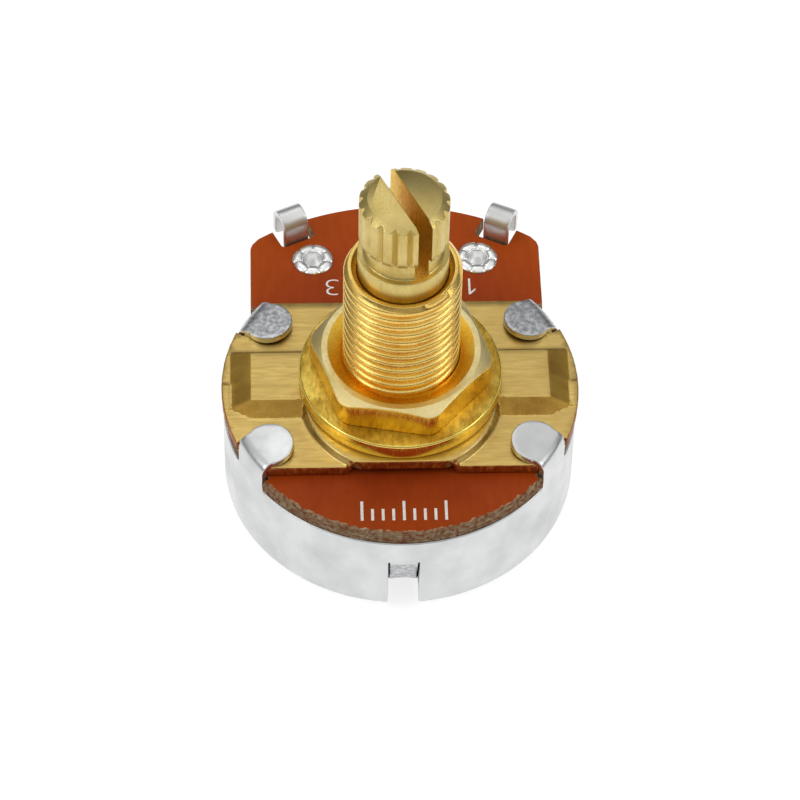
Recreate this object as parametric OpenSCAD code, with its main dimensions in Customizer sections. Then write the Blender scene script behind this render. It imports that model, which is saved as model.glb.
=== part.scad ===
// Rotary potentiometer with a split, splined shaft, in millimetres.
// The origin is where the shaft's axis meets the flat back of the can. +Z runs
// along the shaft and +Y points from the shaft to the three solder terminals.

/* [Can] */
// Outside diameter of the drawn can
can_d = 24; // [22.5:0.5:28]
// Height of the can's wall, from its flat back to the rim
can_h = 7.0; // [6.6:0.1:10]
// Thickness of the can's sheet
can_t = 0.5; // [0.4:0.05:0.6]
// Outside radius of the edge between the back and the wall
can_corner_r = 0.8; // [0.6:0.1:1.2]
// How far the rim is cut back at the rear, where the leads pass
rim_cut = 1.4; // [1.2:0.1:1.8]
// Angle that the cut in the rim spans
rim_cut_angle = 88; // [76:1:96]

/* [Folded tabs] */
// Width of a tab where it leaves the rim
tab_w = 2.9; // [2.4:0.1:3.4]
// Diameter of a tab's round head
tab_head_d = 3.3; // [2.9:0.1:3.6]
// How far a tab's head is folded in from the wall, to the head's centre
tab_reach = 1.6; // [1.2:0.1:2.2]
// Angle of the tabs from the line across the can
tab_angle = 31; // [28:0.5:33]
// Inside radius of the fold
tab_bend_r = 0.35; // [0.2:0.05:0.5]

/* [Rotation stop] */
// Width of the slot that frees the stop tongue
stop_w = 2.1; // [1.6:0.1:2.8]
// Height of the slot's upper end above the back
stop_top = 4.9; // [4.2:0.1:5.4]
// Height of the tongue's lower edge above the back
stop_low = 1.35; // [0.9:0.05:1.4]
// How far the tongue's lower edge is pressed in
stop_in = 1.3; // [1.1:0.1:1.6]
// How far the slot runs in across the back
stop_back_run = 2.6; // [1.8:0.1:3.2]
// Width of the shear gap on each side of the tongue
stop_slit = 0.1; // [0.06:0.02:0.2]

/* [Element board] */
// Thickness of the laminate
board_t = 1.2; // [1:0.1:1.6]
// How far the board's round part lies inside the can's outside
board_in = 0.1; // [0.05:0.05:0.3]
// Width of the tail that carries the terminals
tail_w = 20.2; // [19:0.2:20.8]
// Radius of the tail's curved end, from the shaft's axis
tail_r = 17; // [16.6:0.1:17.8]
// Diameter of the hole round the shaft
board_hole_d = 9.2; // [9:0.1:9.6]
// How far the terminals' rising legs lie inside the tail's curved end
leg_in = 1.6; // [1.4:0.1:2]
// Width of the notch in the tail's end at each terminal
lug_notch_w = 2.5; // [2.2:0.1:3]
// Thickness of the printed tracks
film_t = 0.08; // [0.05:0.01:0.12]
// Angle that the carbon track spans
track_angle = 300; // [290:2:306]
// Middle radius of the carbon track
track_r = 8.5; // [8.1:0.1:8.9]
// Width of the carbon track
track_w = 2.2; // [1.4:0.1:2.4]
// Middle radius of the collector ring
collector_r = 5.6; // [5.4:0.1:5.9]
// Width of the collector ring
collector_w = 1.4; // [1:0.1:1.5]
// Width of the lead that runs to the middle terminal
lead_w = 1.4; // [1:0.1:2]

/* [Terminals] */
// Angle between neighbouring terminals
lug_angle = 25.5; // [24:0.5:28]
// Width of a terminal's strip
lug_w = 1.9; // [1.6:0.1:2.1]
// Thickness of a terminal's strip
lug_t = 0.4; // [0.3:0.05:0.5]
// Radius of the eyelets' circle, from the shaft's axis
eyelet_circle_r = 13.3; // [13.1:0.1:13.6]
// Diameter of the round eye under the board
lug_eye_d = 3; // [2.8:0.1:3.2]
// Height of the hook's crest above the board
hook_rise = 2.3; // [1.9:0.1:2.8]
// Outside width of the hook across its two legs
hook_span = 2.0; // [1.8:0.1:2.3]
// Length of the hook's free leg, below the round crest
hook_drop = 1.6; // [1:0.1:2]
// Diameter of an eyelet's barrel
eyelet_d = 1.9; // [1.6:0.1:2]
// Diameter of the hole through an eyelet
eyelet_bore_d = 1.3; // [1.1:0.1:1.5]
// Diameter of an eyelet's rolled head
eyelet_head_d = 2.9; // [2.6:0.1:3]
// Thickness of the eyelet's flange under the terminal
eyelet_flange_t = 0.25; // [0.2:0.05:0.3]
// Number of splits in an eyelet's rolled head
eyelet_splits = 6; // [5:1:8]
// Width of a split in an eyelet's rolled head
eyelet_split_w = 0.14; // [0.1:0.02:0.2]

/* [Mounting plate] */
// Thickness of the plate's sheet
plate_t = 0.85; // [0.7:0.05:1]
// How far the plate's round ends stand out past the can
plate_out = 0.1; // [0:0.05:0.3]
// Width of the plate between its two straight edges
plate_w = 14.2; // [13:0.1:15]
// Height of the raised boss and of the beads beside it
boss_h = 0.55; // [0.4:0.05:0.65]
// Diameter of the boss on top, where the washer sits
boss_d = 14.4; // [14:0.1:14.8]
// Width of the slope round the boss
boss_slope = 0.75; // [0.6:0.05:0.9]
// Reach of each bead's flat top from the axis
bead_reach = 10.1; // [9.6:0.1:10.4]
// Width of each bead's flat top
bead_w = 4.5; // [4:0.1:5]
// How far the beads lie behind the axis
bead_shift = 0.7; // [0:0.1:1]
// Width of the slope along a bead
bead_slope = 0.55; // [0.45:0.05:0.7]
// Width of the slope at a bead's end
bead_end_slope = 1.3; // [1:0.1:1.4]

/* [Bushing, washer and nut] */
// Outside diameter of the threaded barrel
barrel_d = 7.86; // [7.6:0.02:8]
// Depth of the barrel's thread
thread_h = 0.46; // [0.36:0.02:0.5]
// Distance from one turn of the thread to the next
thread_pitch = 0.74; // [0.7:0.01:0.8]
// Length of the barrel above the plate's boss
barrel_len = 11.8; // [9:0.1:14]
// Chamfer on the barrel's free end
barrel_chamfer = 0.45; // [0.3:0.05:0.5]
// Chamfer in the mouth of the barrel's bore
mouth_chamfer = 0.3; // [0.2:0.05:0.35]
// Diameter of the flange under the plate
flange_d = 9.8; // [9.4:0.1:10.2]
// Thickness of the flange under the plate
flange_t = 0.4; // [0.3:0.05:0.4]
// How far the flat washer's rim lies inside the plate's straight edges
washer_in = 0.25; // [0.15:0.05:0.5]
// Thickness of the flat washer
washer_t = 1.3; // [0.8:0.1:1.5]
// Radius on the washer's edges
washer_edge_r = 0.25; // [0.15:0.05:0.35]
// Width of the hexagon nut across its flats
nut_af = 11; // [10:0.1:11.6]
// Height of the hexagon nut
nut_h = 2.2; // [1.8:0.1:2.8]
// Angle of the nut's first corner
nut_turn = -11; // [-30:1:30]
// Diameter at the top of the nut's countersink
nut_sink_d = 9.4; // [9:0.1:9.7]
// Height of the bevel on the nut's upper corners
nut_bevel = 0.42; // [0.3:0.02:0.5]

/* [Shaft] */
// Diameter of the plain shaft
shaft_d = 6; // [5.8:0.05:6.2]
// Length from the plate's boss to the shaft's tip
shaft_len = 18.4; // [16:0.1:22]
// Length of plain shaft that shows above the barrel
collar_len = 1.5; // [1:0.1:2]
// Length of the neck between the plain shaft and the splines
neck_len = 1.4; // [1:0.1:1.8]
// Diameter over the splines
spline_d = 5.9; // [5.7:0.05:6]
// Diameter at the root of the splines
root_d = 5.2; // [5:0.05:5.4]
// Number of splines
splines = 18; // [16:1:20]
// Width of the saw slot that splits the tip
slot_w = 1.0; // [0.8:0.05:1.2]
// Diameter of the tip's flat end
tip_d = 4.5; // [4:0.1:4.8]
// Height of the chamfer on the tip
tip_chamfer = 0.3; // [0.2:0.05:0.5]
// Angle of the shaft as it stands, from the middle of its travel
shaft_rest = 26; // [-140:1:140]
// Whole travel of the shaft between its two stops
shaft_travel = 300; // [280:1:304]

/* [Rotor] */
// Gap between the can's back and the shaft's riveted end
floor_gap = 0.5; // [0.3:0.05:0.7]
// Height of the riveted end
rivet_h = 0.4; // [0.3:0.05:0.5]
// Diameter of the riveted end
rivet_d = 5.8; // [5.6:0.1:6.2]
// Diameter of the shaft's seat in the rotor, before its two flats
seat_d = 5.2; // [5:0.05:5.4]
// Width across the two flats of the seat
seat_af = 4.2; // [3.8:0.1:4.4]
// Thickness of the stop plate
stop_plate_t = 0.8; // [0.7:0.1:0.8]
// Diameter of the stop plate's round part
stop_plate_d = 13; // [11:0.5:15]
// Radius that the stop plate's arm reaches
stop_arm_r = 11.1; // [11:0.05:11.2]
// Diameter of the moulded rotor
rotor_d = 19; // [18.6:0.1:19.4]
// Thickness of the rotor's disc
rotor_t = 1.6; // [1.2:0.1:1.8]
// Diameter of the rotor's hub
hub_d = 9; // [8:0.1:10]
// Height of the hub below the rotor's disc
hub_h = 1.2; // [1:0.1:1.4]
// Thickness of the wiper's spring sheet
wiper_t = 0.2; // [0.15:0.05:0.25]
// Width of a contact arm
arm_w = 0.9; // [0.7:0.05:1]
// Length of a contact arm
arm_len = 3.4; // [3:0.1:3.6]
// Diameter of the two pegs that hold the wiper
peg_d = 0.9; // [0.7:0.1:1]
// Thickness of the retaining ring
ring_t = 0.35; // [0.3:0.05:0.4]
// Outside diameter of the retaining ring
ring_d = 7.2; // [7:0.1:7.3]
// Diameter of the shaft in the ring's groove
groove_d = 5; // [4.8:0.05:5.2]
// Thickness of the thrust washer
thrust_t = 0.25; // [0.2:0.05:0.3]
// Outside diameter of the thrust washer
thrust_d = 8.2; // [7.8:0.1:8.4]

/* [Clearances] */
// Radial clearance of the shaft in the barrel
run_fit = 0.05; // [0.03:0.01:0.07]
// Radial clearance of pieces that are fixed to each other
seat_fit = 0.02; // [0.01:0.01:0.04]
// Clearance of the folded tabs and the hooks in their notches
notch_fit = 0.1; // [0.05:0.01:0.15]
// Radial clearance of the loose washers
loose_fit = 0.2; // [0.1:0.05:0.25]
// Gap between a wiper contact and the printed track
contact_gap = 0.12; // [0.08:0.02:0.2]
// Axial play between the retaining ring and the thrust washer
end_play = 0.06; // [0.04:0.01:0.1]
// Gap between the stop plate's arm and the tongue at either stop
stop_gap = 0.08; // [0.05:0.01:0.12]

/* [Hidden] */
$fn = 96;

// Reach of a cutting solid past the face that it cuts
over = 1;
front = -90;
rear = 90;
spline_step = 360 / splines;

can_r = can_d / 2;
fold_r = tab_bend_r + can_t;
board_d = can_d - 2 * board_in;
plate_d = can_d + 2 * plate_out;
washer_d = plate_w - 2 * washer_in;
board_z = can_h;
board_top = board_z + board_t;
plate_top = board_top + plate_t;
seat_z = plate_top + boss_h;
washer_top = seat_z + washer_t;
nut_top = washer_top + nut_h;
barrel_top = seat_z + barrel_len;
flange_top = board_top + boss_h;
flange_z = flange_top - flange_t;

tip_z = seat_z + shaft_len;
collar_top = barrel_top + collar_len;
spline_z = collar_top + neck_len;
shaft_bore_r = shaft_d / 2 + run_fit;
grip_r = (barrel_d - thread_h) / 2;
barrel_bore_r = grip_r + seat_fit;

rivet_z = can_t + floor_gap;
stop_plate_z = rivet_z + rivet_h;
hub_z = stop_plate_z + stop_plate_t;
rotor_z = hub_z + hub_h;
rotor_top = rotor_z + rotor_t;
film_z = board_z - film_t;
contact_z = film_z - contact_gap;
thrust_z = flange_z - thrust_t;
ring_z = thrust_z - end_play - ring_t;

// The tongue is as wide as its slot less a shear gap on each side, and the arm
// of the stop plate fills what the travel leaves, less the gap at either stop
tongue_r = can_r - can_t - stop_in;
tongue_half = asin((stop_w / 2 - stop_slit) / tongue_r);
gap_half = asin(stop_gap / stop_arm_r);
arm_half = (360 - shaft_travel) / 2 - tongue_half - gap_half;
track_gap = 360 - track_angle;

hook_r = hook_span / 2;
leg_r = tail_r - leg_in;
hook_z = board_top + hook_rise - hook_r;
lug_z = board_z - lug_t;

module at_polar(r, a) {
    rotate([0, 0, a]) translate([r, 0, 0]) children();
}

// A ring's section between two radii, swept over an angle that is centred on mid
module sector(r0, r1, h, mid, angle) {
    rotate([0, 0, mid - angle / 2]) rotate_extrude(angle = angle) translate([r0, 0]) square([r1 - r0, h]);
}

module ring(r0, r1, h) {
    difference() {
        cylinder(h = h, r = r1);
        translate([0, 0, -over]) cylinder(h = h + 2 * over, r = r0);
    }
}

// Half of a cup's section: a rectangle whose outer lower corner is round
module cup_half(r, h, corner) {
    square([r - corner, h]);
    translate([0, corner]) square([r, h - corner]);
    translate([r - corner, corner]) circle(r = corner);
}

// The wall runs up past the board and folds in over the plate all the way round,
// before everything but the tabs is cut away
module can_blank() {
    fold_z = plate_top - tab_bend_r;
    in_r = can_r - can_t;
    rotate_extrude() {
        difference() {
            cup_half(can_r, fold_z, can_corner_r);
            translate([0, can_t]) cup_half(in_r, fold_z, max(can_corner_r - can_t, 0.05));
        }
        translate([can_r - fold_r, fold_z]) intersection() {
            difference() {
                circle(r = fold_r);
                circle(r = tab_bend_r);
            }
            square(fold_r);
        }
        translate([can_r - tab_reach, plate_top]) square([tab_reach - fold_r, can_t]);
    }
}

// Everything above the rim between one folded tab and the next
module tab_gaps() {
    half = asin(tab_w / 2 / can_r);
    side_gap = 2 * (tab_angle - half);
    end_gap = 2 * (90 - tab_angle - half);
    for (side = [0, 180]) translate([0, 0, can_h]) {
        sector(over, can_r + over, can_h, side, side_gap);
        sector(over, can_r + over, can_h, side + 90, end_gap);
    }
}

module tab_head(a) {
    translate([0, 0, plate_top]) rotate([0, 0, a]) intersection() {
        translate([can_r - tab_reach, 0, 0]) cylinder(h = can_t, d = tab_head_d);
        translate([0, -tab_head_d, 0]) cube([can_r - fold_r, 2 * tab_head_d, can_t]);
    }
}

// The tongue's root runs on inside the wall above the slot, so that the two join
module stop_tongue() {
    tongue_w = stop_w - 2 * stop_slit;
    root_h = 0.3;
    inset = 0.05;
    intersection() {
        rotate([0, 0, front - 10]) rotate_extrude(angle = 20) polygon([
            [can_r - can_t + inset, stop_top + root_h], [can_r - inset, stop_top + root_h],
            [can_r - stop_in, stop_low], [tongue_r, stop_low]]);
        translate([-tongue_w / 2, -can_r, 0]) cube([tongue_w, can_r, can_h]);
    }
}

module stop_slot() {
    run = can_t + stop_back_run - stop_w / 2;
    translate([-stop_w / 2, -can_r - over, -over]) cube([stop_w, run + over, stop_top + over]);
    translate([0, run - can_r, -over]) cylinder(h = stop_top + over, d = stop_w);
}

module can_cover() {
    color("gainsboro") {
        difference() {
            can_blank();
            tab_gaps();
            stop_slot();
            translate([0, 0, can_h - rim_cut])
                sector(can_r - can_t - over, can_r + over, rim_cut + over, rear, rim_cut_angle);
        }
        stop_tongue();
        for (side = [0, 180], a = [-tab_angle, tab_angle]) tab_head(side + a);
    }
}

// Cuts the edge of the board or the plate back behind a folded tab
module tab_notches(h) {
    cut_w = tab_w + 2 * notch_fit;
    for (side = [0, 180], a = [-tab_angle, tab_angle])
        rotate([0, 0, side + a]) translate([can_r - can_t - notch_fit, -cut_w / 2, -over])
            cube([can_r, cut_w, h + 2 * over]);
}

module element_board() {
    notch_r = leg_r - notch_fit;
    color("sienna") translate([0, 0, board_z]) difference() {
        union() {
            cylinder(h = board_t, d = board_d);
            intersection() {
                cylinder(h = board_t, r = tail_r);
                translate([-tail_w / 2, 0, 0]) cube([tail_w, tail_r, board_t]);
            }
        }
        tab_notches(board_t);
        translate([0, 0, -over]) cylinder(h = board_t + 2 * over, d = board_hole_d);
        for (a = [-lug_angle, 0, lug_angle]) {
            at_polar(eyelet_circle_r, rear + a) translate([0, 0, -over])
                cylinder(h = board_t + 2 * over, r = eyelet_d / 2 + seat_fit);
            rotate([0, 0, rear + a]) translate([notch_r, -lug_notch_w / 2, -over])
                cube([tail_r, lug_notch_w, board_t + 2 * over]);
        }
    }
}

module carbon_track() {
    color("dimgray") translate([0, 0, film_z])
        sector(track_r - track_w / 2, track_r + track_w / 2, film_t, front, track_angle);
}

// Silver leads join the track's two ends to the eyes of terminals 1 and 3
module end_leads() {
    lead_angle = track_gap / 2 - lug_angle + 6;
    color("lightgray") translate([0, 0, film_z]) difference() {
        for (s = [-1, 1])
            sector(track_r - track_w / 2, eyelet_circle_r, film_t, rear + s * (track_gap - lead_angle) / 2,
                   lead_angle);
        for (s = [-1, 1]) at_polar(eyelet_circle_r, rear + s * lug_angle) translate([0, 0, -over])
            cylinder(h = 2 * over, d = lug_eye_d);
    }
}

module collector_ring() {
    color("silver") translate([0, 0, film_z]) {
        ring(collector_r - collector_w / 2, collector_r + collector_w / 2, film_t);
        difference() {
            translate([-lead_w / 2, collector_r, 0]) cube([lead_w, eyelet_circle_r - collector_r, film_t]);
            translate([0, eyelet_circle_r, -over]) cylinder(h = 2 * over, d = lug_eye_d);
        }
    }
}

// A strip is riveted under the board, turns up through its notch, and curls
// over outwards into a hook that takes the wire
module terminal(a) {
    color("whitesmoke") rotate([0, 0, rear + a]) {
        difference() {
            union() {
                translate([eyelet_circle_r, 0, lug_z]) cylinder(h = lug_t, d = lug_eye_d);
                rotate([90, 0, 0]) linear_extrude(lug_w, center = true) hook_section();
            }
            translate([eyelet_circle_r, 0, lug_z - over])
                cylinder(h = lug_t + 2 * over, r = eyelet_d / 2 + seat_fit);
        }
    }
}

module hook_section() {
    heel_r = 1.5 * lug_t;
    translate([eyelet_circle_r, lug_z]) square([leg_r + lug_t - heel_r - eyelet_circle_r, lug_t]);
    translate([leg_r + lug_t - heel_r, lug_z + heel_r]) intersection() {
        difference() {
            circle(r = heel_r);
            circle(r = heel_r - lug_t);
        }
        translate([0, -heel_r]) square(heel_r);
    }
    translate([leg_r, lug_z + heel_r]) square([lug_t, hook_z - lug_z - heel_r]);
    translate([leg_r + hook_r, hook_z]) intersection() {
        difference() {
            circle(r = hook_r);
            circle(r = hook_r - lug_t);
        }
        translate([-hook_r, 0]) square([hook_span, hook_r]);
    }
    translate([leg_r + hook_span - lug_t, hook_z - hook_drop]) square([lug_t, hook_drop]);
}

module terminal_1() { terminal(-lug_angle); }
module terminal_2() { terminal(0); }
module terminal_3() { terminal(lug_angle); }

// A tubular rivet with a flange under the terminal and a rolled, split head
module eyelet(a) {
    bore_r = eyelet_bore_d / 2;
    roll_r = (eyelet_head_d / 2 - bore_r) / 2 + 0.05;
    flange_low = lug_z - eyelet_flange_t;
    color("lightgray") at_polar(eyelet_circle_r, rear + a) difference() {
        rotate_extrude() difference() {
            union() {
                translate([0, flange_low]) square([lug_eye_d / 2 - 0.2, eyelet_flange_t]);
                translate([0, flange_low]) square([eyelet_d / 2, board_top - flange_low]);
                translate([eyelet_head_d / 2 - roll_r, board_top]) intersection() {
                    circle(r = roll_r);
                    translate([-roll_r, 0]) square([2 * roll_r, roll_r]);
                }
            }
            translate([0, flange_low - over]) square([bore_r, board_top - flange_low + 2 * over]);
        }
        for (i = [0 : eyelet_splits - 1]) rotate([0, 0, i * 360 / eyelet_splits])
            translate([bore_r - 0.1, -eyelet_split_w / 2, board_top + 0.08])
                cube([eyelet_head_d / 2, eyelet_split_w, roll_r]);
    }
}

module eyelet_1() { eyelet(-lug_angle); }
module eyelet_2() { eyelet(0); }
module eyelet_3() { eyelet(lug_angle); }

// Raised form of the plate: a round boss with a bead on each side. The sheet is
// pressed up from below, so the same form is also cut out of its underside
module raised_form() {
    base_x = bead_reach + bead_end_slope;
    top_y = bead_w / 2;
    base_y = top_y + bead_slope;
    cylinder(h = boss_h, r1 = boss_d / 2 + boss_slope, r2 = boss_d / 2);
    translate([0, bead_shift, 0]) intersection() {
        rotate([90, 0, 0]) linear_extrude(2 * base_y, center = true)
            polygon([[-base_x, 0], [base_x, 0], [bead_reach, boss_h], [-bead_reach, boss_h]]);
        rotate([90, 0, 90]) linear_extrude(2 * base_x, center = true)
            polygon([[-base_y, 0], [base_y, 0], [top_y, boss_h], [-top_y, boss_h]]);
    }
}

module plate_outline(h) {
    intersection() {
        cylinder(h = h, d = plate_d);
        translate([-plate_d, -plate_w / 2, 0]) cube([2 * plate_d, plate_w, h]);
    }
}

module mounting_plate() {
    color("burlywood") difference() {
        union() {
            translate([0, 0, board_top]) plate_outline(plate_t);
            intersection() {
                translate([0, 0, board_top]) plate_outline(plate_t + boss_h);
                translate([0, 0, plate_top]) raised_form();
            }
        }
        translate([0, 0, board_top]) raised_form();
        translate([0, 0, board_top]) tab_notches(plate_t);
        translate([0, 0, board_top]) cylinder(h = plate_t + boss_h + over, r = barrel_bore_r);
    }
}

// Above the nut the barrel has its thread's crests, with a plain ring cut for each
// turn. Inside the nut and below it is as wide as the thread's middle
module bushing() {
    r = barrel_d / 2;
    groove_w = 0.8 * thread_pitch;
    thread_top = barrel_top - barrel_chamfer;
    turns = floor((thread_top - nut_top) / thread_pitch);
    first_z = thread_top - turns * thread_pitch + (thread_pitch - groove_w) / 2;
    grooves = [for (i = [0 : turns - 1], p = [[0, 0], [thread_h / 2, 0.5], [0, 1]])
        [r - p[0], first_z + i * thread_pitch + p[1] * groove_w]];
    color("gold") rotate_extrude() polygon(concat([
        [shaft_bore_r, flange_z], [flange_d / 2, flange_z], [flange_d / 2, flange_top],
        [grip_r, flange_top], [grip_r, nut_top], [r, nut_top]], grooves, [
        [r, thread_top], [r - barrel_chamfer, barrel_top],
        [shaft_bore_r + mouth_chamfer, barrel_top], [shaft_bore_r, barrel_top - mouth_chamfer]]));
}

module flat_washer() {
    e = washer_edge_r;
    r0 = barrel_d / 2 + loose_fit;
    r1 = washer_d / 2;
    color("khaki") translate([0, 0, seat_z]) rotate_extrude() {
        translate([r0, 0]) square([r1 - e - r0, washer_t]);
        translate([r1 - e, e]) square([e, washer_t - 2 * e]);
        for (z = [e, washer_t - e]) translate([r1 - e, z]) circle(r = e);
    }
}

module hex_nut() {
    corner_r = nut_af / 2 / cos(30);
    sink = nut_sink_d / 2 - barrel_bore_r;
    color("goldenrod") translate([0, 0, washer_top]) difference() {
        intersection() {
            rotate([0, 0, nut_turn]) cylinder(h = nut_h, r = corner_r, $fn = 6);
            rotate_extrude() polygon([[0, 0], [corner_r, 0], [corner_r, nut_h - nut_bevel],
                                      [nut_af / 2 - 0.12, nut_h], [0, nut_h]]);
        }
        translate([0, 0, -over]) cylinder(h = nut_h + 2 * over, r = barrel_bore_r);
        rotate_extrude() polygon([[0, nut_h - 0.75 * sink], [barrel_bore_r, nut_h - 0.75 * sink],
                                  [nut_sink_d / 2, nut_h], [nut_sink_d / 2, nut_h + over], [0, nut_h + over]]);
    }
}

// Turns the rotating pieces from the middle of their travel to their rest
module turned() {
    rotate([0, 0, shaft_rest]) children();
}

module seat_flats(h, fit) {
    af = seat_af + 2 * fit;
    intersection() {
        cylinder(h = h, r = seat_d / 2 + fit);
        translate([-seat_d, -af / 2, 0]) cube([2 * seat_d, af, h]);
    }
}

module shaft_blank() {
    r = shaft_d / 2;
    groove_low = ring_z - seat_fit;
    groove_top = ring_z + ring_t + seat_fit;
    rotate_extrude() polygon([
        [0, rotor_top], [r, rotor_top], [r, groove_low], [groove_d / 2, groove_low],
        [groove_d / 2, groove_top], [r, groove_top], [r, collar_top],
        [root_d / 2, spline_z], [spline_d / 2, spline_z], [spline_d / 2, tip_z - tip_chamfer],
        [tip_d / 2, tip_z], [0, tip_z]]);
    translate([0, 0, rivet_z + rivet_h]) seat_flats(rotor_top - rivet_z - rivet_h, 0);
    translate([0, 0, rivet_z]) cylinder(h = rivet_h, d = rivet_d);
}

// One V groove between two splines, as wide at the crest as it leaves a tooth
module spline_groove() {
    crest = PI * spline_d / splines;
    half = 0.32 * crest;
    lift = tip_z - spline_z + over;
    translate([0, 0, spline_z]) linear_extrude(lift)
        polygon([[root_d / 2, -0.05], [root_d / 2, 0.05], [spline_d / 2 + 0.2, half + 0.2],
                 [spline_d / 2 + 0.2, -half - 0.2]]);
}

module shaft() {
    color("darkkhaki") turned() difference() {
        shaft_blank();
        for (i = [0 : splines - 1]) rotate([0, 0, (i + 0.5) * spline_step]) spline_groove();
        translate([-slot_w / 2, -shaft_d, collar_top]) cube([slot_w, 2 * shaft_d, tip_z]);
    }
}

module thrust_washer() {
    color("lightsteelblue") translate([0, 0, thrust_z])
        ring(shaft_d / 2 + loose_fit, thrust_d / 2, thrust_t);
}

// An open ring that snaps into the shaft's groove
module retaining_ring() {
    color("slategray") turned() translate([0, 0, ring_z]) difference() {
        ring(groove_d / 2 + seat_fit, ring_d / 2, ring_t);
        translate([0, -groove_d / 2 * 0.8, -over]) cube([ring_d, groove_d * 0.8, ring_t + 2 * over]);
    }
}

module rotor_disc() {
    color("peru") turned() {
        difference() {
            union() {
                translate([0, 0, rotor_z]) cylinder(h = rotor_t, d = rotor_d);
                translate([0, 0, hub_z]) cylinder(h = hub_h, d = hub_d);
            }
            translate([0, 0, hub_z - over]) seat_flats(hub_h + rotor_t + 2 * over, seat_fit);
        }
        for (a = [0, 180]) translate([0, 0, rotor_top]) at_polar(collector_r, a)
            cylinder(h = 2 * wiper_t, d = peg_d);
    }
}

// The arm of this plate meets the can's tongue at both ends of the travel
module stop_plate() {
    color("lightslategray") turned() translate([0, 0, stop_plate_z]) difference() {
        union() {
            cylinder(h = stop_plate_t, d = stop_plate_d);
            sector(stop_plate_d / 4, stop_arm_r, stop_plate_t, rear, 2 * arm_half);
        }
        translate([0, 0, -over]) seat_flats(stop_plate_t + 2 * over, seat_fit);
    }
}

// A contact arm rises along the track from the spring's sheet, and its toe
// turns down again past the point of contact
module contact_arm(r) {
    rise = contact_z - rotor_top;
    toe = 0.5;
    translate([0, -r, rotor_top]) rotate([90, 0, 0]) linear_extrude(arm_w, center = true)
        polygon([[-arm_len, 0], [-arm_len + wiper_t, 0], [0, rise - wiper_t], [toe, rise - 2.5 * wiper_t],
                 [toe + wiper_t, rise - 1.5 * wiper_t], [0, rise], [-arm_len, wiper_t]]);
}

module wiper_spring() {
    inner_r = shaft_d / 2 + loose_fit;
    outer_r = collector_r + collector_w;
    slot = arm_w + 2 * notch_fit;
    color("orange") turned() {
        translate([0, 0, rotor_top]) difference() {
            union() {
                ring(inner_r, outer_r, wiper_t);
                sector(inner_r + over, track_r + arm_w, wiper_t, front, 62);
            }
            for (a = [0, 180]) at_polar(collector_r, a) translate([0, 0, -over])
                cylinder(h = 2 * over, r = peg_d / 2 + seat_fit);
            for (r = [collector_r, track_r]) translate([-arm_len + wiper_t, -r - slot / 2, -over])
                cube([arm_len + over, slot, 2 * over]);
        }
        for (r = [collector_r, track_r]) contact_arm(r);
    }
}

can_cover();
element_board();
carbon_track();
end_leads();
collector_ring();
terminal_1();
terminal_2();
terminal_3();
eyelet_1();
eyelet_2();
eyelet_3();
mounting_plate();
bushing();
flat_washer();
hex_nut();
shaft();
thrust_washer();
retaining_ring();
rotor_disc();
stop_plate();
wiper_spring();
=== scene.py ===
import math
import random

import bmesh
import bpy
import numpy as np
from mathutils import Matrix, Vector, geometry, kdtree


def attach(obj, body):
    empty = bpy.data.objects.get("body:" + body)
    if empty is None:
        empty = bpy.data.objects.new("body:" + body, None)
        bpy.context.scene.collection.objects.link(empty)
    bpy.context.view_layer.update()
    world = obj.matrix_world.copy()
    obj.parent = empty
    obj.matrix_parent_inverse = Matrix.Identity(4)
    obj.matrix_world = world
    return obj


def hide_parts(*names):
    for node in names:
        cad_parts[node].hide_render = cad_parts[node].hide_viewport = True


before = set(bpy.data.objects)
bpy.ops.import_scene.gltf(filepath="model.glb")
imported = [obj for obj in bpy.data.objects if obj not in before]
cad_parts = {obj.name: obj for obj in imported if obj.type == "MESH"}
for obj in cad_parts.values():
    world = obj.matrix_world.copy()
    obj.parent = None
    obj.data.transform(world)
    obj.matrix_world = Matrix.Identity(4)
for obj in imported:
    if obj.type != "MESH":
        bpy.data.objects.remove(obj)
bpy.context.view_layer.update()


# Can
# A drawn cup of tinned steel, half a millimetre thick. Its blank is cut with four
# tabs and a stop tongue, and the tabs are folded in over the plate to hold the rest.
MM = 0.001
can_r = 12.0
can_t = 0.5
can_corner = 0.8
rim_z = 7.0
rear_rim_z = 5.6
rear_rim_half = 44.0
plate_top = 9.05
fold_r = 0.85
spring_back = 0.09
tab_turn = 31.0
tab_half = 1.5
tab_head_r = 1.65
tab_head_at = 10.4
slot_half = 1.05
tongue_half = 0.95
tongue_top = 4.9
tongue_low = 1.35
tongue_press = 1.3
slot_end = 9.95


def placed(name, data):
    """A new object in the scene"""
    piece = bpy.data.objects.new(name, data)
    bpy.context.scene.collection.objects.link(piece)
    return piece


def make_piece(name, points, faces):
    """A smooth mesh object from points in millimetres, with doubles merged and faces turned out"""
    mesh = bpy.data.meshes.new(name)
    mesh.from_pydata([Vector(p) * MM for p in points], [], faces)
    shape = bmesh.new()
    shape.from_mesh(mesh)
    bmesh.ops.remove_doubles(shape, verts=shape.verts, dist=1e-7)
    bmesh.ops.recalc_face_normals(shape, faces=shape.faces)
    for face in shape.faces:
        face.smooth = True
    shape.to_mesh(mesh)
    shape.free()
    return placed(name, mesh)


def skin(rows, across, ring=False):
    """Faces over rows of points, each a closed loop. A ring joins the last row to the first one,
    and otherwise a cap closes each end"""
    faces = []
    if not ring:
        faces = [tuple(range(across)), tuple(range((rows - 1) * across, rows * across))]
    for k in range(rows if ring else rows - 1):
        m = (k + 1) % rows
        for i in range(across):
            j = (i + 1) % across
            faces.append((k * across + i, m * across + i, m * across + j, k * across + j))
    return faces


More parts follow.
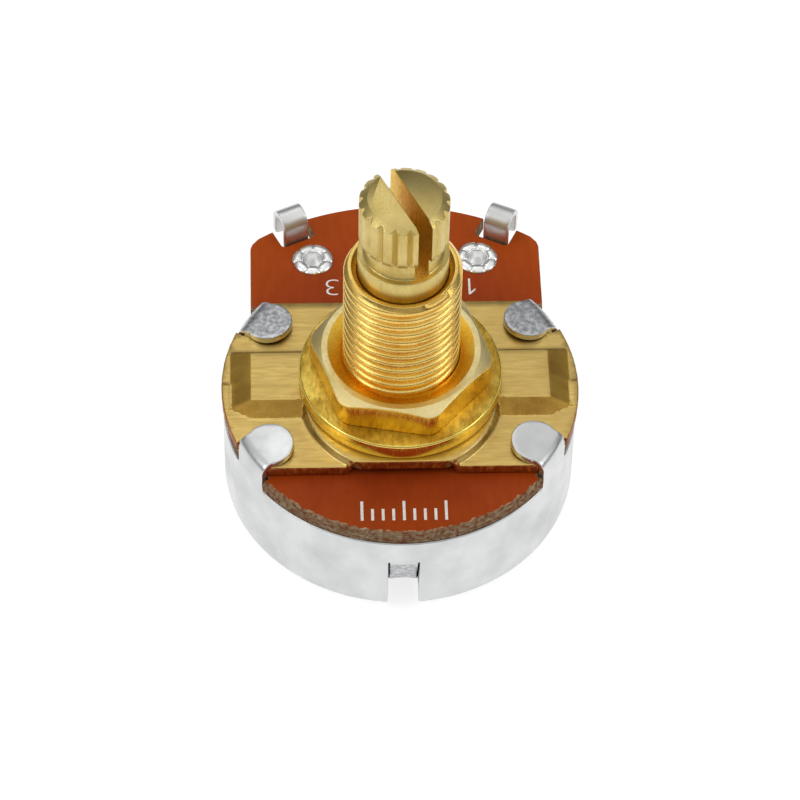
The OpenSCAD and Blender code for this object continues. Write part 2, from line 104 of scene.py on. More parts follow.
def inside(points, loop):
    """Which of the flat points lie inside a closed loop"""
    x, y = points[:, 0], points[:, 1]
    hit = np.zeros(len(points), bool)
    for (x0, y0), (x1, y1) in zip(loop, np.roll(loop, -1, axis=0)):
        if y0 != y1:
            hit ^= ((y0 > y) != (y1 > y)) & (x < (x1 - x0) * (y - y0) / (y1 - y0) + x0)
    return hit


def spaced(loop, step):
    """The same loop with points no further apart than step"""
    out = []
    for a, b in zip(loop, np.roll(loop, -1, axis=0)):
        n = max(1, math.ceil(np.linalg.norm(b - a) / step - 1e-6))
        out += [a + (b - a) * i / n for i in range(n)]
    return np.array(out)


def inset(loop, gap):
    """The loop moved to its left by gap, which is inwards on a counter-clockwise outline"""
    before = loop - np.roll(loop, 1, axis=0)
    after = np.roll(loop, -1, axis=0) - loop
    before /= np.linalg.norm(before, axis=1)[:, None]
    after /= np.linalg.norm(after, axis=1)[:, None]
    left = np.stack([-(before + after)[:, 1], (before + after)[:, 0]], 1)
    left /= np.maximum(np.linalg.norm(left, axis=1), 0.3)[:, None]
    edge = np.stack([-after[:, 1], after[:, 0]], 1)
    turn = np.maximum((left * edge).sum(1), 0.6)
    return loop + left * (gap / turn)[:, None]


def rounded(corners, arc=4):
    """A closed loop from corners (x, y, radius), each round one drawn with arc + 1 points"""
    out = []
    for i, (x, y, r) in enumerate(corners):
        p = np.array((x, y), float)
        if r <= 0:
            out.append(p)
            continue
        u = np.array(corners[i - 1][:2]) - p
        v = np.array(corners[(i + 1) % len(corners)][:2]) - p
        u, v = u / np.linalg.norm(u), v / np.linalg.norm(v)
        half = math.acos(max(-1, min(1, float(u @ v)))) / 2
        middle = p + (u + v) / np.linalg.norm(u + v) * r / math.sin(half)
        start, end = p + u * r / math.tan(half) - middle, p + v * r / math.tan(half) - middle
        first = math.atan2(start[1], start[0])
        swing = (math.atan2(end[1], end[0]) - first + math.pi) % (2 * math.pi) - math.pi
        for k in range(arc + 1):
            a = first + swing * k / arc
            out.append(middle + r * np.array((math.cos(a), math.sin(a))))
    return np.array(out)


def round_edge(radius, thickness):
    """Steps (inwards, down) round a cut edge, from the outer face to the inner one"""
    turn = [math.radians(a) for a in (0, 22.5, 45, 67.5, 90)]
    upper = [(radius * (1 - math.sin(a)), radius * (1 - math.cos(a))) for a in turn]
    return upper + [(gap, thickness - down) for gap, down in reversed(upper)]


def pressed_sheet(name, outline, holes, marks, form, thickness, edge, clearance, front_edge=None, inner=-1):
    """A sheet cut from a flat pattern, then pressed. form turns flat points into its outer face,
    marks are the flat points that follow its bends, edge is the radius of its cut edges, and
    inner says on which side of that face the sheet lies"""
    loops = [outline] + holes
    loops = [loop if (i == 0) == (signed_area(loop) > 0) else loop[::-1] for i, loop in enumerate(loops)]
    steps = [round_edge(edge, thickness) for _ in loops]
    if front_edge:
        steps[0] = front_edge
    rims = [inset(loop, step[0][0]) for loop, step in zip(loops, steps)]
    border = np.concatenate(rims)
    tree = kdtree.KDTree(len(border))
    for i, p in enumerate(border):
        tree.insert((p[0], p[1], 0), i)
    tree.balance()
    near = np.array([tree.find((p[0], p[1], 0))[2] for p in marks])
    keep = (near > clearance) & inside(marks, rims[0])
    for rim in rims[1:]:
        keep &= ~inside(marks, rim)
    flat = np.concatenate([border, marks[keep]])
    lines, start = [], 0
    for rim in rims:
        n = len(rim)
        lines += [(start + i, start + (i + 1) % n) for i in range(n)]
        start += n
    co, _, faces, origin, _, _ = geometry.delaunay_2d_cdt([Vector(p) for p in flat], lines, [], 0, 1e-6, True)
    flat = np.array([tuple(p) for p in co])
    place = {old: new for new, olds in enumerate(origin) for old in olds}
    faces = np.array([f for f in faces if len(f) == 3])
    centre = flat[faces].mean(axis=1)
    keep = inside(centre, rims[0])
    for rim in rims[1:]:
        keep &= ~inside(centre, rim)
    faces = faces[keep]
    n = len(flat)

    def pressed(points, depth):
        step = 1e-3
        across = form(points + (step, 0)) - form(points - (step, 0))
        along = form(points + (0, step)) - form(points - (0, step))
        normal = np.cross(across, along)
        normal /= np.maximum(np.linalg.norm(normal, axis=1), 1e-12)[:, None]
        return form(points) + inner * normal * np.asarray(depth)[..., None]

    points = [pressed(flat, np.zeros(n)), pressed(flat, np.full(n, thickness))]
    solid = [tuple(f) for f in faces] + [tuple(int(v) + n for v in f[::-1]) for f in faces]
    total = 2 * n
    start = 0
    for loop, step in zip(loops, steps):
        m = len(loop)
        rings = [[place[start + i] for i in range(m)]]
        for gap, depth in step[1:-1]:
            points.append(pressed(inset(loop, gap), np.full(m, depth)))
            rings.append(list(range(total, total + m)))
            total += m
        rings.append([place[start + i] + n for i in range(m)])
        for upper, lower in zip(rings, rings[1:]):
            solid += [(upper[i], lower[i], lower[(i + 1) % m], upper[(i + 1) % m]) for i in range(m)]
        start += m
    return make_piece(name, np.concatenate(points), solid)


def signed_area(loop):
    """The area of a loop, below zero when it runs clockwise"""
    x, y = loop[:, 0], loop[:, 1]
    return float((x * np.roll(y, -1) - y * np.roll(x, -1)).sum()) / 2


# The blank is drawn flat round the middle of the back, so that a point's distance
# from the middle is its way across the back, up the wall and over the fold
back_run = can_r - can_corner
wall_foot = back_run + can_corner * math.pi / 2
fold_z = plate_top + can_t - fold_r
wall_head = wall_foot + fold_z - can_corner
fold_end = wall_head + fold_r * math.pi / 2


def run_at_height(z):
    """How far from the blank's middle a height on the wall lies"""
    return wall_foot + z - can_corner


def run_at_radius(r):
    """How far from the blank's middle a radius on a folded tab lies"""
    return fold_end + can_r - fold_r - r


def blank_point(angle, run):
    """A point of the blank from its direction in degrees and its distance"""
    a = math.radians(angle)
    return (run * math.cos(a), run * math.sin(a))


def can_form(flat):
    """Draws the flat blank up into the can's outer face"""
    run = np.hypot(flat[:, 0], flat[:, 1])
    angle = np.arctan2(flat[:, 1], flat[:, 0])
    bend = np.clip((run - back_run) / can_corner, 0, math.pi / 2)
    fold = np.clip((run - wall_head) / fold_r, 0, math.pi / 2)
    radius = np.minimum(run, back_run) + can_corner * np.sin(bend)
    radius -= fold_r * (1 - np.cos(fold)) + np.maximum(run - fold_end, 0)
    height = can_corner * (1 - np.cos(bend)) + np.clip(run - wall_foot, 0, wall_head - wall_foot)
    height += fold_r * np.sin(fold) + spring_back * np.maximum(run - fold_end, 0)
    side = radius * np.sin(angle + math.pi / 2)
    pressed = (np.abs(side) < (slot_half + tongue_half) / 2) & (np.sin(angle) < 0) & (run > wall_foot + 0.2)
    down = np.clip((tongue_top - height) / (tongue_top - tongue_low), 0, 1.2)
    soft = 0.1
    push = (np.sqrt(down ** 2 + soft ** 2) - soft) / (math.sqrt(1 + soft ** 2) - soft)
    bow = 0.18 * down ** 2 * (1 - (side / tongue_half) ** 2)
    inward = np.where(pressed & (height < tongue_top), tongue_press * push + bow, 0)
    x, y = radius * np.cos(angle), radius * np.sin(angle)
    return np.stack([x, y + inward, height], 1)


def tab_outline(middle):
    """A folded tab from its root round its head and back, in the flat blank"""
    foot = run_at_height(rim_z)
    side = [(tab_half + 0.35, foot, can_r), (tab_half + 0.1, foot + 0.1, can_r)]
    side += [(tab_half, foot + 0.35, can_r), (tab_half, wall_head, can_r)]
    side += [(tab_half, fold_end, can_r - fold_r)]
    right = [blank_point(middle - math.degrees(w / r), run) for w, run, r in side]
    head = []
    first = math.degrees(math.acos((can_r - fold_r - tab_head_at) / tab_head_r)) + 6
    for k in range(41):
        turn = math.radians(-first - (360 - 2 * first) * k / 40)
        r, t = tab_head_at + tab_head_r * math.cos(turn), tab_head_r * math.sin(turn)
        head.append(blank_point(middle + math.degrees(math.atan2(t, r)), run_at_radius(math.hypot(r, t))))
    left = [blank_point(middle + math.degrees(w / r), run) for w, run, r in reversed(side)]
    return right + head + left


rim = []
for middle in (tab_turn - 180, -tab_turn, tab_turn, 180 - tab_turn):
    rim += tab_outline(middle)
    if middle == tab_turn:
        cut_end = 90 - rear_rim_half
        cut = [(cut_end - 1, rim_z), (cut_end, rim_z - 0.3), (cut_end, rear_rim_z + 0.3)]
        cut += [(cut_end + 1.2, rear_rim_z)]
        rim += [blank_point(a, run_at_height(z)) for a, z in cut]
        rim += [blank_point(180 - a, run_at_height(z)) for a, z in reversed(cut)]
corners = np.array(rim)
outline = []
for a, b in zip(corners, np.roll(corners, -1, axis=0)):
    run_a, run_b = np.hypot(*a), np.hypot(*b)
    turn_a = math.atan2(a[1], a[0])
    turn = (math.atan2(b[1], b[0]) - turn_a + math.pi) % (2 * math.pi) - math.pi
    n = max(1, math.ceil(max(abs(turn) * can_r, abs(run_b - run_a)) / 0.22))
    for i in range(n):
        run, angle = run_a + (run_b - run_a) * i / n, turn_a + turn * i / n
        outline.append((run * math.cos(angle), run * math.sin(angle)))


def slot_side(half, z):
    """A point on the right side of the slot or the tongue at a height, in the flat blank"""
    return blank_point(-90 + math.degrees(math.asin(half / can_r)), run_at_height(z))


right = [slot_side(tongue_half - 0.25, tongue_low), slot_side(tongue_half - 0.07, tongue_low + 0.07)]
right += [slot_side(tongue_half, tongue_low + 0.25), slot_side(tongue_half, tongue_top)]
right += [slot_side(slot_half, tongue_top), slot_side(slot_half, can_corner)]
for k in range(1, 6):
    bend = math.pi / 2 * (1 - k / 5)
    r = back_run + can_corner * math.sin(bend)
    right.append(blank_point(-90 + math.degrees(math.asin(slot_half / r)), back_run + can_corner * bend))
right.append((slot_half, -slot_end))
end = [(slot_half * math.cos(a), -slot_end + slot_half * math.sin(a))
       for a in (math.radians(15 * k) for k in range(1, 12))]
left = [(-x, y) for x, y in reversed(right)]
slot_loop = spaced(np.array(right + end + left), 0.18)

marks = []
for run in (1.5, 3, 4.5, 6, 7.5, 8.6, 9.4, 10.2, 10.8, back_run):
    marks += [blank_point(a, run) for a in np.arange(0, 360, 360 / max(16, int(2 * math.pi * run / 0.7)))]
rings = [back_run + can_corner * math.pi / 2 * k / 6 for k in range(1, 7)]
rings += [run_at_height(z) for z in np.arange(1.0, fold_z, 0.42)]
rings += [wall_head + fold_r * math.pi / 2 * k / 8 for k in range(0, 9)]
rings += [fold_end + 0.25 * k for k in range(1, 10)]
for k, run in enumerate(rings):
    marks += [blank_point(a + (k % 2), run) for a in np.arange(0, 360, 2)]
can = pressed_sheet("can", np.array(outline), [slot_loop], np.array([(0, 0)] + marks), can_form,
                    can_t, 0.09, 0.13, inner=1)


def join(tree, value, port):
    """Links a socket to a port, or sets the port to a plain value"""
    if isinstance(value, bpy.types.NodeSocket):
        tree.links.new(value, port)
    else:
        port.default_value = value


def add_node(tree, kind, ports=(), **settings):
    """A new node with its settings, and with its ports linked or set"""
    node = tree.nodes.new(kind)
    for key, value in settings.items():
        setattr(node, key, value)
    for port, value in dict(ports).items():
        join(tree, value, node.inputs[port])
    return node


def material(name, metallic=0.0, rough=0.5):
    """A new material, with its shader and its object coordinates in millimetres"""
    mat = bpy.data.materials.new(name)
    mat.use_nodes = True
    tree = mat.node_tree
    shader = tree.nodes["Principled BSDF"]
    shader.inputs["Metallic"].default_value = metallic
    shader.inputs["Roughness"].default_value = rough
    where = add_node(tree, "ShaderNodeTexCoord").outputs["Object"]
    scale = add_node(tree, "ShaderNodeMapping", {"Vector": where, "Scale": (1000, 1000, 1000)})
    return mat, tree, shader, scale.outputs["Vector"]


def grain(tree, where, scale, detail=3.0, stretch=(1, 1, 1), rough=0.55):
    """Noise of so many cells a millimetre, stretched along an axis where a number is small"""
    squash = add_node(tree, "ShaderNodeMapping", {"Vector": where, "Scale": stretch})
    ports = {"Vector": squash.outputs["Vector"], "Scale": scale, "Detail": detail, "Roughness": rough}
    return add_node(tree, "ShaderNodeTexNoise", ports).outputs["Fac"]


def ramp(tree, value, *stops):
    """A colour ramp with stops (place, colour), where a colour may be one number"""
    node = add_node(tree, "ShaderNodeValToRGB", {"Fac": value})
    points = node.color_ramp.elements
    while len(points) < len(stops):
        points.new(0.5)
    for point, (at, colour) in zip(points, stops):
        point.position = at
        point.color = (*colour, 1) if isinstance(colour, tuple) else (colour, colour, colour, 1)
    return node.outputs["Color"]


def blend(tree, fac, a, b, mode="MIX"):
    """Two colours mixed by a value"""
    node = add_node(tree, "ShaderNodeMix", data_type="RGBA", blend_type=mode)
    for socket, value in (("Factor", fac), ("A", a), ("B", b)):
        join(tree, value, next(s for s in node.inputs if s.name == socket and s.enabled))
    return next(s for s in node.outputs if s.enabled)


def relief(tree, shader, *layers):
    """Bumps from layers (height, depth in millimetres)"""
    normal = None
    for height, depth in layers:
        bump = add_node(tree, "ShaderNodeBump", {"Strength": 1.0, "Distance": depth * MM, "Height": height})
        if normal:
            tree.links.new(normal, bump.inputs["Normal"])
        normal = bump.outputs["Normal"]
    tree.links.new(normal, shader.inputs["Normal"])


def paint(tree, shader, colour, rough=None):
    """Gives a shader its colour, and its roughness where that varies too"""
    tree.links.new(colour, shader.inputs["Base Color"])
    if rough:
        tree.links.new(rough, shader.inputs["Roughness"])


def tinned(name, light, dark, rough):
    """Tin over sheet metal: soft grey clouds, a fine grain and a few long draw marks"""
    mat, tree, shader, where = material(name, 1.0, 0.3)
    clouds = grain(tree, where, 0.35, 4.0)
    specks = grain(tree, where, 9.0, 3.0)
    tone = ramp(tree, clouds, (0.3, dark), (0.62, light))
    paint(tree, shader, tone, ramp(tree, clouds, (0.3, rough[1]), (0.7, rough[0])))
    marks = grain(tree, where, 3.0, 2.0, (1, 1, 0.08))
    relief(tree, shader, (clouds, 0.012), (marks, 0.0015), (specks, 0.0008))
    return mat


can.data.materials.append(tinned("tin_on_steel", (0.71, 0.72, 0.715), (0.6, 0.61, 0.61), (0.24, 0.4)))
mat, tree, shader, where = material("folded_tin", 1.0, 0.36)
dark_mottle = grain(tree, where, 3.4, 5.0)
paint(tree, shader, ramp(tree, dark_mottle, (0.38, (0.34, 0.345, 0.355)), (0.66, (0.72, 0.73, 0.74))))
relief(tree, shader, (dark_mottle, 0.01))
can.data.materials.append(mat)
# The rear tabs' heads and the tongue take a darker, mottled copy of the tin
for face in can.data.polygons:
    x, y, z = face.center / MM
    tongue = abs(x) < tongue_half + 0.02 and y < -slot_end and tongue_low - 0.1 < z < tongue_top - 0.2
    if tongue or (y > 0 and z > fold_z and face.normal.z > 0.5):
        face.material_index = 1
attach(can, "housing")
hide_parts("can_cover")


# Element board
# A punched board of brown phenolic paper that closes the can. The track and the silver
# rings are printed under it, and its tail carries the three terminals.
board_z = 7.0
board_t = 1.2
board_r = 11.9
tail_half = 10.1
tail_foot = 7.88
tail_r = 17.0
tab_gap = 1.55
deep_r = can_r - can_t - 0.1
board_hole_r = 4.6
eyelet_r = 13.3
eyelet_hole_r = 0.97
lug_turns = (-25.5, 0.0, 25.5)
notch_half = 1.25
notch_floor = 15.3
board_top = board_z + board_t


def turned(points, angle):
    """Flat points turned about the axis by an angle in degrees"""
    a = math.radians(angle)
    turn = np.array([[math.cos(a), math.sin(a)], [-math.sin(a), math.cos(a)]])
    return np.asarray(points, float) @ turn


def circle(r, count):
    """A round hole's loop"""
    turn = np.linspace(0, 2 * math.pi, count, False)
    return np.stack([r * np.cos(turn), r * np.sin(turn)], 1)


def arc_of(r, first, last):
    """Points on an arc with both its ends"""
    count = max(2, int((last - first) / 1.6))
    return [tuple(turned([(r, 0)], t)[0]) for t in np.linspace(first, last, count)]


def arc_points(r, first, last):
    """Points on an arc without its last one"""
    return [tuple(turned([(r, 0)], t)[0]) for t in np.arange(first, last, 1.6)]


def uneven(count, seed, calm):
    """A cut edge's raggedness at each of its points, the less the greater calm is"""
    random.seed(seed)
    rough = np.array([random.uniform(-1, 1) for _ in range(count)])
    return (np.roll(rough, -1) + 2 * rough + np.roll(rough, 1)) / calm


def board_edge():
    """The punched outline, with its tail, its notches and the gaps behind the folded tabs"""
    tail_head = math.sqrt(tail_r ** 2 - tail_half ** 2)
    right = math.degrees(math.atan2(tail_head, tail_half))
    edge = [(tail_half, tail_foot), (tail_half, tail_head - 0.5), (tail_half - 0.12, tail_head - 0.12)]
    edge += [tuple(turned([(tail_r, 0)], right + 2.2)[0])]
    for a, shift in zip(lug_turns, (-0.2, 0.0, 0.1)):
        first = math.degrees(math.atan2(edge[-1][1], edge[-1][0]))
        a += math.degrees(shift / tail_r)
        last = 90 + a - math.degrees(math.asin(notch_half / tail_r))
        edge += arc_points(tail_r, first + 2, last - 1)
        lip = [(math.sqrt(tail_r ** 2 - notch_half ** 2), -notch_half), (notch_floor + 0.25, -notch_half)]
        lip += [(notch_floor + 0.07, -notch_half + 0.07), (notch_floor, -notch_half + 0.25)]
        lip += [(x, -y) for x, y in reversed(lip)]
        edge += [tuple(p) for p in turned(lip, 90 + a)]
    first = math.degrees(math.atan2(edge[-1][1], edge[-1][0]))
    edge += arc_points(tail_r, first + 2, 180 - right - 2.2)
    edge += [(-x, y) for x, y in (edge[3], edge[2], edge[1], edge[0])]
    gap = math.degrees(math.asin(tab_gap / board_r))
    gaps = (180 - tab_turn, 180 + tab_turn, 360 - tab_turn, 360 + tab_turn)
    for middle in gaps:
        if middle > gaps[0]:
            edge += arc_points(board_r, before + gap + 1, middle - gap - 0.5)
            edge += [tuple(turned([(board_r, -tab_gap)], middle)[0])]
        edge += [tuple(p) for p in turned([(deep_r, -tab_gap), (deep_r, tab_gap)], middle)]
        if middle < gaps[-1]:
            edge += [tuple(turned([(board_r, tab_gap)], middle)[0])]
        before = middle
    return np.array(edge)


edge = spaced(board_edge(), 0.16)
ragged = uneven(len(edge), 7, 3)
in_front = np.clip((-edge[:, 1] - 3.5) / 3, 0, 1)
torn = 0.05 + in_front * np.clip(0.09 + 0.11 * ragged, 0.02, 0.25)
board_steps = [(torn, 0.0)]
for share, down in ((0.55, 0.04), (0.25, 0.12), (0.1, 0.3), (0.0, 0.55), (0.04, 0.85), (0.0, 1.05),
                    (0.1, 1.16)):
    wave = 0.05 * in_front * np.roll(ragged, int(100 * down))
    board_steps.append((torn * share + np.abs(wave), down))
board_steps.append((torn, board_t))
holes = [circle(board_hole_r, 96)]
holes += [turned(circle(eyelet_hole_r, 32) + (eyelet_r, 0), 90 + a) for a in lug_turns]
grid = np.array([(x + 0.6 * (j % 2), y) for x in np.arange(-12, 12.1, 1.2)
                 for j, y in enumerate(np.arange(-12, 17.1, 1.04))])


def board_form(flat):
    """The board is flat, at the height of its top"""
    return np.column_stack([flat, np.full(len(flat), board_top)])


board = pressed_sheet("board", edge, holes, grid, board_form, board_t, 0.04, 0.5, board_steps)
mat, tree, shader, where = material("phenolic_paper", 0.0, 0.5)
shader.inputs["Specular IOR Level"].default_value = 0.1
mottle = grain(tree, where, 0.32, 5.0)
fibre = grain(tree, where, 2.2, 4.0, (1, 0.25, 1))
# The top is painted darker towards the middle, as painted shade near the plate, and a more orange brown
# towards its edges
reach = add_node(tree, "ShaderNodeVectorMath", {0: where}, operation="LENGTH").outputs["Value"]
outward = add_node(tree, "ShaderNodeMapRange", {"Value": reach, "From Min": 9.0, "From Max": 19.0})
base = ramp(tree, mottle, (0.3, (0.23, 0.023, 0.004)), (0.7, (0.33, 0.042, 0.006)))
warm = blend(tree, outward.outputs["Result"], base, (0.5, 0.078, 0.005, 1))
paint(tree, shader, blend(tree, 0.25, warm, ramp(tree, fibre, (0.35, 0.55), (0.7, 1.0)), "MULTIPLY"),
      ramp(tree, fibre, (0.3, 0.5), (0.7, 0.36)))
relief(tree, shader, (fibre, 0.004), (mottle, 0.01))
board.data.materials.append(mat)

mat, tree, shader, where = material("punched_paper_edge", 0.0, 0.85)
layers = grain(tree, where, 1.6, 5.0, (0.4, 0.4, 3.0), 0.7)
specks = grain(tree, where, 3.5, 4.0)
tone = ramp(tree, layers, (0.3, (0.24, 0.12, 0.05)), (0.48, (0.45, 0.3, 0.16)), (0.66, (0.66, 0.52, 0.34)))
resin = ramp(tree, specks, (0.42, 0.0), (0.62, 1.0))
paint(tree, shader, blend(tree, resin, tone, (0.26, 0.075, 0.02, 1)))
relief(tree, shader, (layers, 0.05), (specks, 0.02))
board.data.materials.append(mat)
for face in board.data.polygons:
    out = math.hypot(face.center.x, face.center.y) / MM
    if board_z + 0.01 < face.center.z / MM < board_top - 0.004 and out > 5:
        face.material_index = 1
board.data.set_sharp_from_angle(angle=math.radians(50))
# The top is dead flat, so it is shaded flat
for face in board.data.polygons:
    face.use_smooth = face.normal.z < 0.99
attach(board, "housing")
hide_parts("element_board")


# Printed numbers and scale marks
# White ink on the board: the terminals' numbers, which read from the terminals' side,
# and a plain row of scale marks at the front.
ink, tree, shader, where = material("white_ink", 0.0, 0.55)
wear = grain(tree, where, 4.0, 3.0)
paint(tree, shader, ramp(tree, wear, (0.3, (0.78, 0.74, 0.72)), (0.6, (0.93, 0.92, 0.9))))
relief(tree, shader, (wear, 0.004))
ink_z = board_top + 0.004
ink_t = 0.012
number_tall = 1.43
for text, x, y in (("1", 5.22, 9.45), ("2", 0.35, 10.85), ("3", -4.44, 9.5)):
    curve = bpy.data.curves.new("number_" + text, "FONT")
    curve.body = text
    curve.extrude = ink_t
    curve.offset = -0.022
    curve.resolution_u = 4
    written = placed("written", curve)
    bpy.context.view_layer.update()
    mesh = bpy.data.meshes.new_from_object(written)
    bpy.data.objects.remove(written)
    spots = np.array([tuple(v.co) for v in mesh.vertices])
    low, high = spots.min(axis=0), spots.max(axis=0)
    size = number_tall / (high[1] - low[1])
    wide = {"1": 0.62, "2": 0.9, "3": 0.88}[text] / (high[0] - low[0])
    middle = (low + high) / 2
    if text == "1":
        # This one is a bare stroke with a flag, without a foot
        stroke = [(0.04, -0.5), (0.16, -0.5), (0.16, 0.5), (0.05, 0.5)]
        stroke += [(-0.22, 0.24), (-0.22, 0.12), (0.04, 0.34)]
        shape = bmesh.new()
        shape.faces.new([shape.verts.new((u * 1.25, v, 1)) for u, v in stroke])
        shape.to_mesh(mesh)
        shape.free()
        wide, size, middle = 1.0, number_tall, (0, 0)
    for vertex in mesh.vertices:
        dx, dy = (vertex.co.x - middle[0]) * wide, (vertex.co.y - middle[1]) * size
        vertex.co = Vector((x - dx, y - dy, ink_z + 0.004 * (vertex.co.z > 0))) * MM
    number = placed("number_" + text, mesh)
    number.data.materials.clear()
    number.data.materials.append(ink)
    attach(number, "housing")


def node_group(name, **inputs):
    """An empty geometry tree with a mesh in and out and the named sizes"""
    group = bpy.data.node_groups.new(name, "GeometryNodeTree")
    group.interface.new_socket("Mesh", in_out="INPUT", socket_type="NodeSocketGeometry")
    group.interface.new_socket("Mesh", in_out="OUTPUT", socket_type="NodeSocketGeometry")
    for label, value in inputs.items():
        kind = {int: "NodeSocketInt", float: "NodeSocketFloat"}.get(type(value), "NodeSocketMaterial")
        socket = group.interface.new_socket(label, in_out="INPUT", socket_type=kind)
        if kind != "NodeSocketMaterial":
            socket.default_value = value
    return group


class Tree:
    """Short calls for one geometry tree: its given sizes, a new node, a sum, and its end"""

    def __init__(self, group):
        self.group = group
        self.source = group.nodes.new("NodeGroupInput")
        self.end = group.nodes.new("NodeGroupOutput")

    def given(self, label):
        return self.source.outputs[label]

    def add(self, kind, ports=(), **settings):
        return add_node(self.group, kind, ports, **settings)

    def sum(self, operation, a, b=0.0, c=0.0):
        return self.add("ShaderNodeMath", {0: a, 1: b, 2: c}, operation=operation).outputs[0]

    def close(self, geometry_out, finish):
        real = self.add("GeometryNodeRealizeInstances", {0: geometry_out})
        painted = self.add("GeometryNodeSetMaterial", {0: real.outputs[0], "Material": finish})
        self.group.links.new(painted.outputs[0], self.end.inputs[0])


def grow(piece, group, **values):
    """Runs a geometry tree on a piece and keeps the plain mesh that comes out"""
    modifier = piece.modifiers.new("rule", "NODES")
    modifier.node_group = group
    for item in group.interface.items_tree:
        if item.in_out == "INPUT" and item.name in values:
            modifier[item.identifier] = values[item.name]
    bpy.context.view_layer.update()
    graph = bpy.context.evaluated_depsgraph_get()
    mesh = bpy.data.meshes.new_from_object(piece.evaluated_get(graph))
    piece.modifiers.clear()
    piece.data = mesh
    return piece


scale_rule = node_group("scale_marks", Count=9, Pitch=0.7 * MM, Tall=1.6 * MM, Stroke=0.19 * MM, Ink=None)
rule = Tree(scale_rule)
step = rule.add("ShaderNodeCombineXYZ", {"X": rule.given("Pitch")})
line = rule.add("GeometryNodeMeshLine", {"Count": rule.given("Count"), "Offset": step.outputs[0]},
                mode="OFFSET")
index = rule.add("GeometryNodeInputIndex")
odd = rule.sum("MODULO", index.outputs[0], 4.0)
share = rule.sum("SUBTRACT", 1.0, rule.sum("MULTIPLY", rule.sum("MINIMUM", odd, 1.0), 0.4))
tall = rule.sum("MULTIPLY", rule.given("Tall"), share)
size = rule.add("ShaderNodeCombineXYZ", {"X": rule.given("Stroke"), "Y": tall, "Z": ink_t * MM})
mark = rule.add("GeometryNodeMeshCube", {"Size": (1.0, 1.0, 1.0)})
shift = rule.add("GeometryNodeTransform", {0: mark.outputs[0], "Translation": (0.0, 0.5, 0.0)})
laid = rule.add("GeometryNodeInstanceOnPoints", {"Points": line.outputs[0], "Instance": shift.outputs[0],
                                                "Scale": size.outputs[0]})
rule.close(laid.outputs[0], rule.given("Ink"))
marks_row = make_piece("scale_marks", [(0, 0, 0)], [])
grow(marks_row, scale_rule, Ink=ink)
marks_row.data.transform(Matrix.Translation(Vector((-2.8, -10.86, ink_z)) * MM))
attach(marks_row, "housing")


# Terminals
# Three strips of tinned brass, riveted under the board by a round eye. Each rises through
# its notch in the tail and curls over outwards into a hook for the wire.
lug_t = 0.4
lug_half = 0.95
hook_half = 0.9
lug_eye_r = 1.5
lug_mid_z = board_z - lug_t / 2
leg_mid_r = 15.6
heel_r = 0.4
hook_r = 0.8
hook_z = 9.35
hook_drop = 1.6
hook_leans = (-0.45, 0.0, 0.2)
hook_legs = (leg_mid_r - heel_r - eyelet_r, heel_r * math.pi / 2, hook_z - lug_mid_z - heel_r,
             hook_r * math.pi, hook_drop)
hook_ends = np.cumsum(hook_legs)


def hook_path(u):
    """Place and heading of the strip's middle at a way u from the eye, as r, z and angle"""
    heel = np.clip(u - hook_ends[0], 0, hook_legs[1]) / heel_r
    curl = np.clip(u - hook_ends[2], 0, hook_legs[3]) / hook_r
    rise = np.clip(u - hook_ends[1], 0, hook_legs[2])
    drop = np.maximum(u - hook_ends[3], 0)
    r = eyelet_r + np.minimum(u, hook_legs[0]) + heel_r * np.sin(heel) + hook_r * (1 - np.cos(curl))
    z = lug_mid_z + heel_r * (1 - np.cos(heel)) + rise + hook_r * np.sin(curl) - drop
    return r, z, heel - curl


def hook_form(lean):
    """The form of a terminal whose leg stands a little to one side of its eye"""
    def form(flat):
        r, z, heading = hook_path(flat[:, 0])
        half = lug_t / 2
        aside = lean * np.clip((flat[:, 0] - 0.9) / (hook_ends[0] - 0.9), 0, 1)
        return np.stack([r - half * np.sin(heading), flat[:, 1] + aside, z + half * np.cos(heading)], 1)
    return form


def turned_piece(piece, angle):
    """A piece turned about the axis by an angle in degrees"""
    piece.data.transform(Matrix.Rotation(math.radians(angle), 4, "Z"))
    return piece


tip = hook_ends[4]
eye_end = math.sqrt(lug_eye_r ** 2 - lug_half ** 2)
strip = [(eye_end, -lug_half, 0), (hook_ends[0], -lug_half, 0.2), (hook_ends[0] + 0.3, -hook_half, 0.2)]
strip += [(tip, -hook_half, 0.35)]
strip += [(x, -y, r) for x, y, r in reversed(strip)]
strip = [tuple(p) for p in rounded(strip)]
eye_start = math.degrees(math.asin(lug_half / lug_eye_r))
eye = [(lug_eye_r * math.cos(math.radians(a)), lug_eye_r * math.sin(math.radians(a)))
       for a in np.arange(eye_start + 8, 360 - eye_start - 4, 8)]
strip = spaced(np.array(strip + eye), 0.16)
bends = [0.3 * k for k in range(-4, 6)] + list(np.arange(hook_ends[0] - 0.05, hook_ends[1] + 0.1, 0.1))
bends += list(np.arange(hook_ends[1] + 0.35, hook_ends[2] - 0.2, 0.35))
bends += list(np.arange(hook_ends[2], hook_ends[3] + 0.1, 0.12))
bends += list(np.arange(hook_ends[3] + 0.35, tip - 0.2, 0.3))
grid = np.array([(u, v) for u in bends for v in (-0.85, -0.6, -0.3, 0, 0.3, 0.6, 0.85)])
lug_tin = tinned("tin_on_brass", (0.8, 0.8, 0.79), (0.68, 0.68, 0.67), (0.3, 0.45))
for number, angle, lean in zip((1, 2, 3), lug_turns, hook_leans):
    lug = pressed_sheet("lug_%d" % number, strip, [circle(eyelet_hole_r, 32)], grid, hook_form(lean),
                        lug_t, 0.07, 0.1)
    turned_piece(lug, 90 + angle)
    lug.data.materials.append(lug_tin)
    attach(lug, "housing")
    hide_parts("terminal_%d" % number)


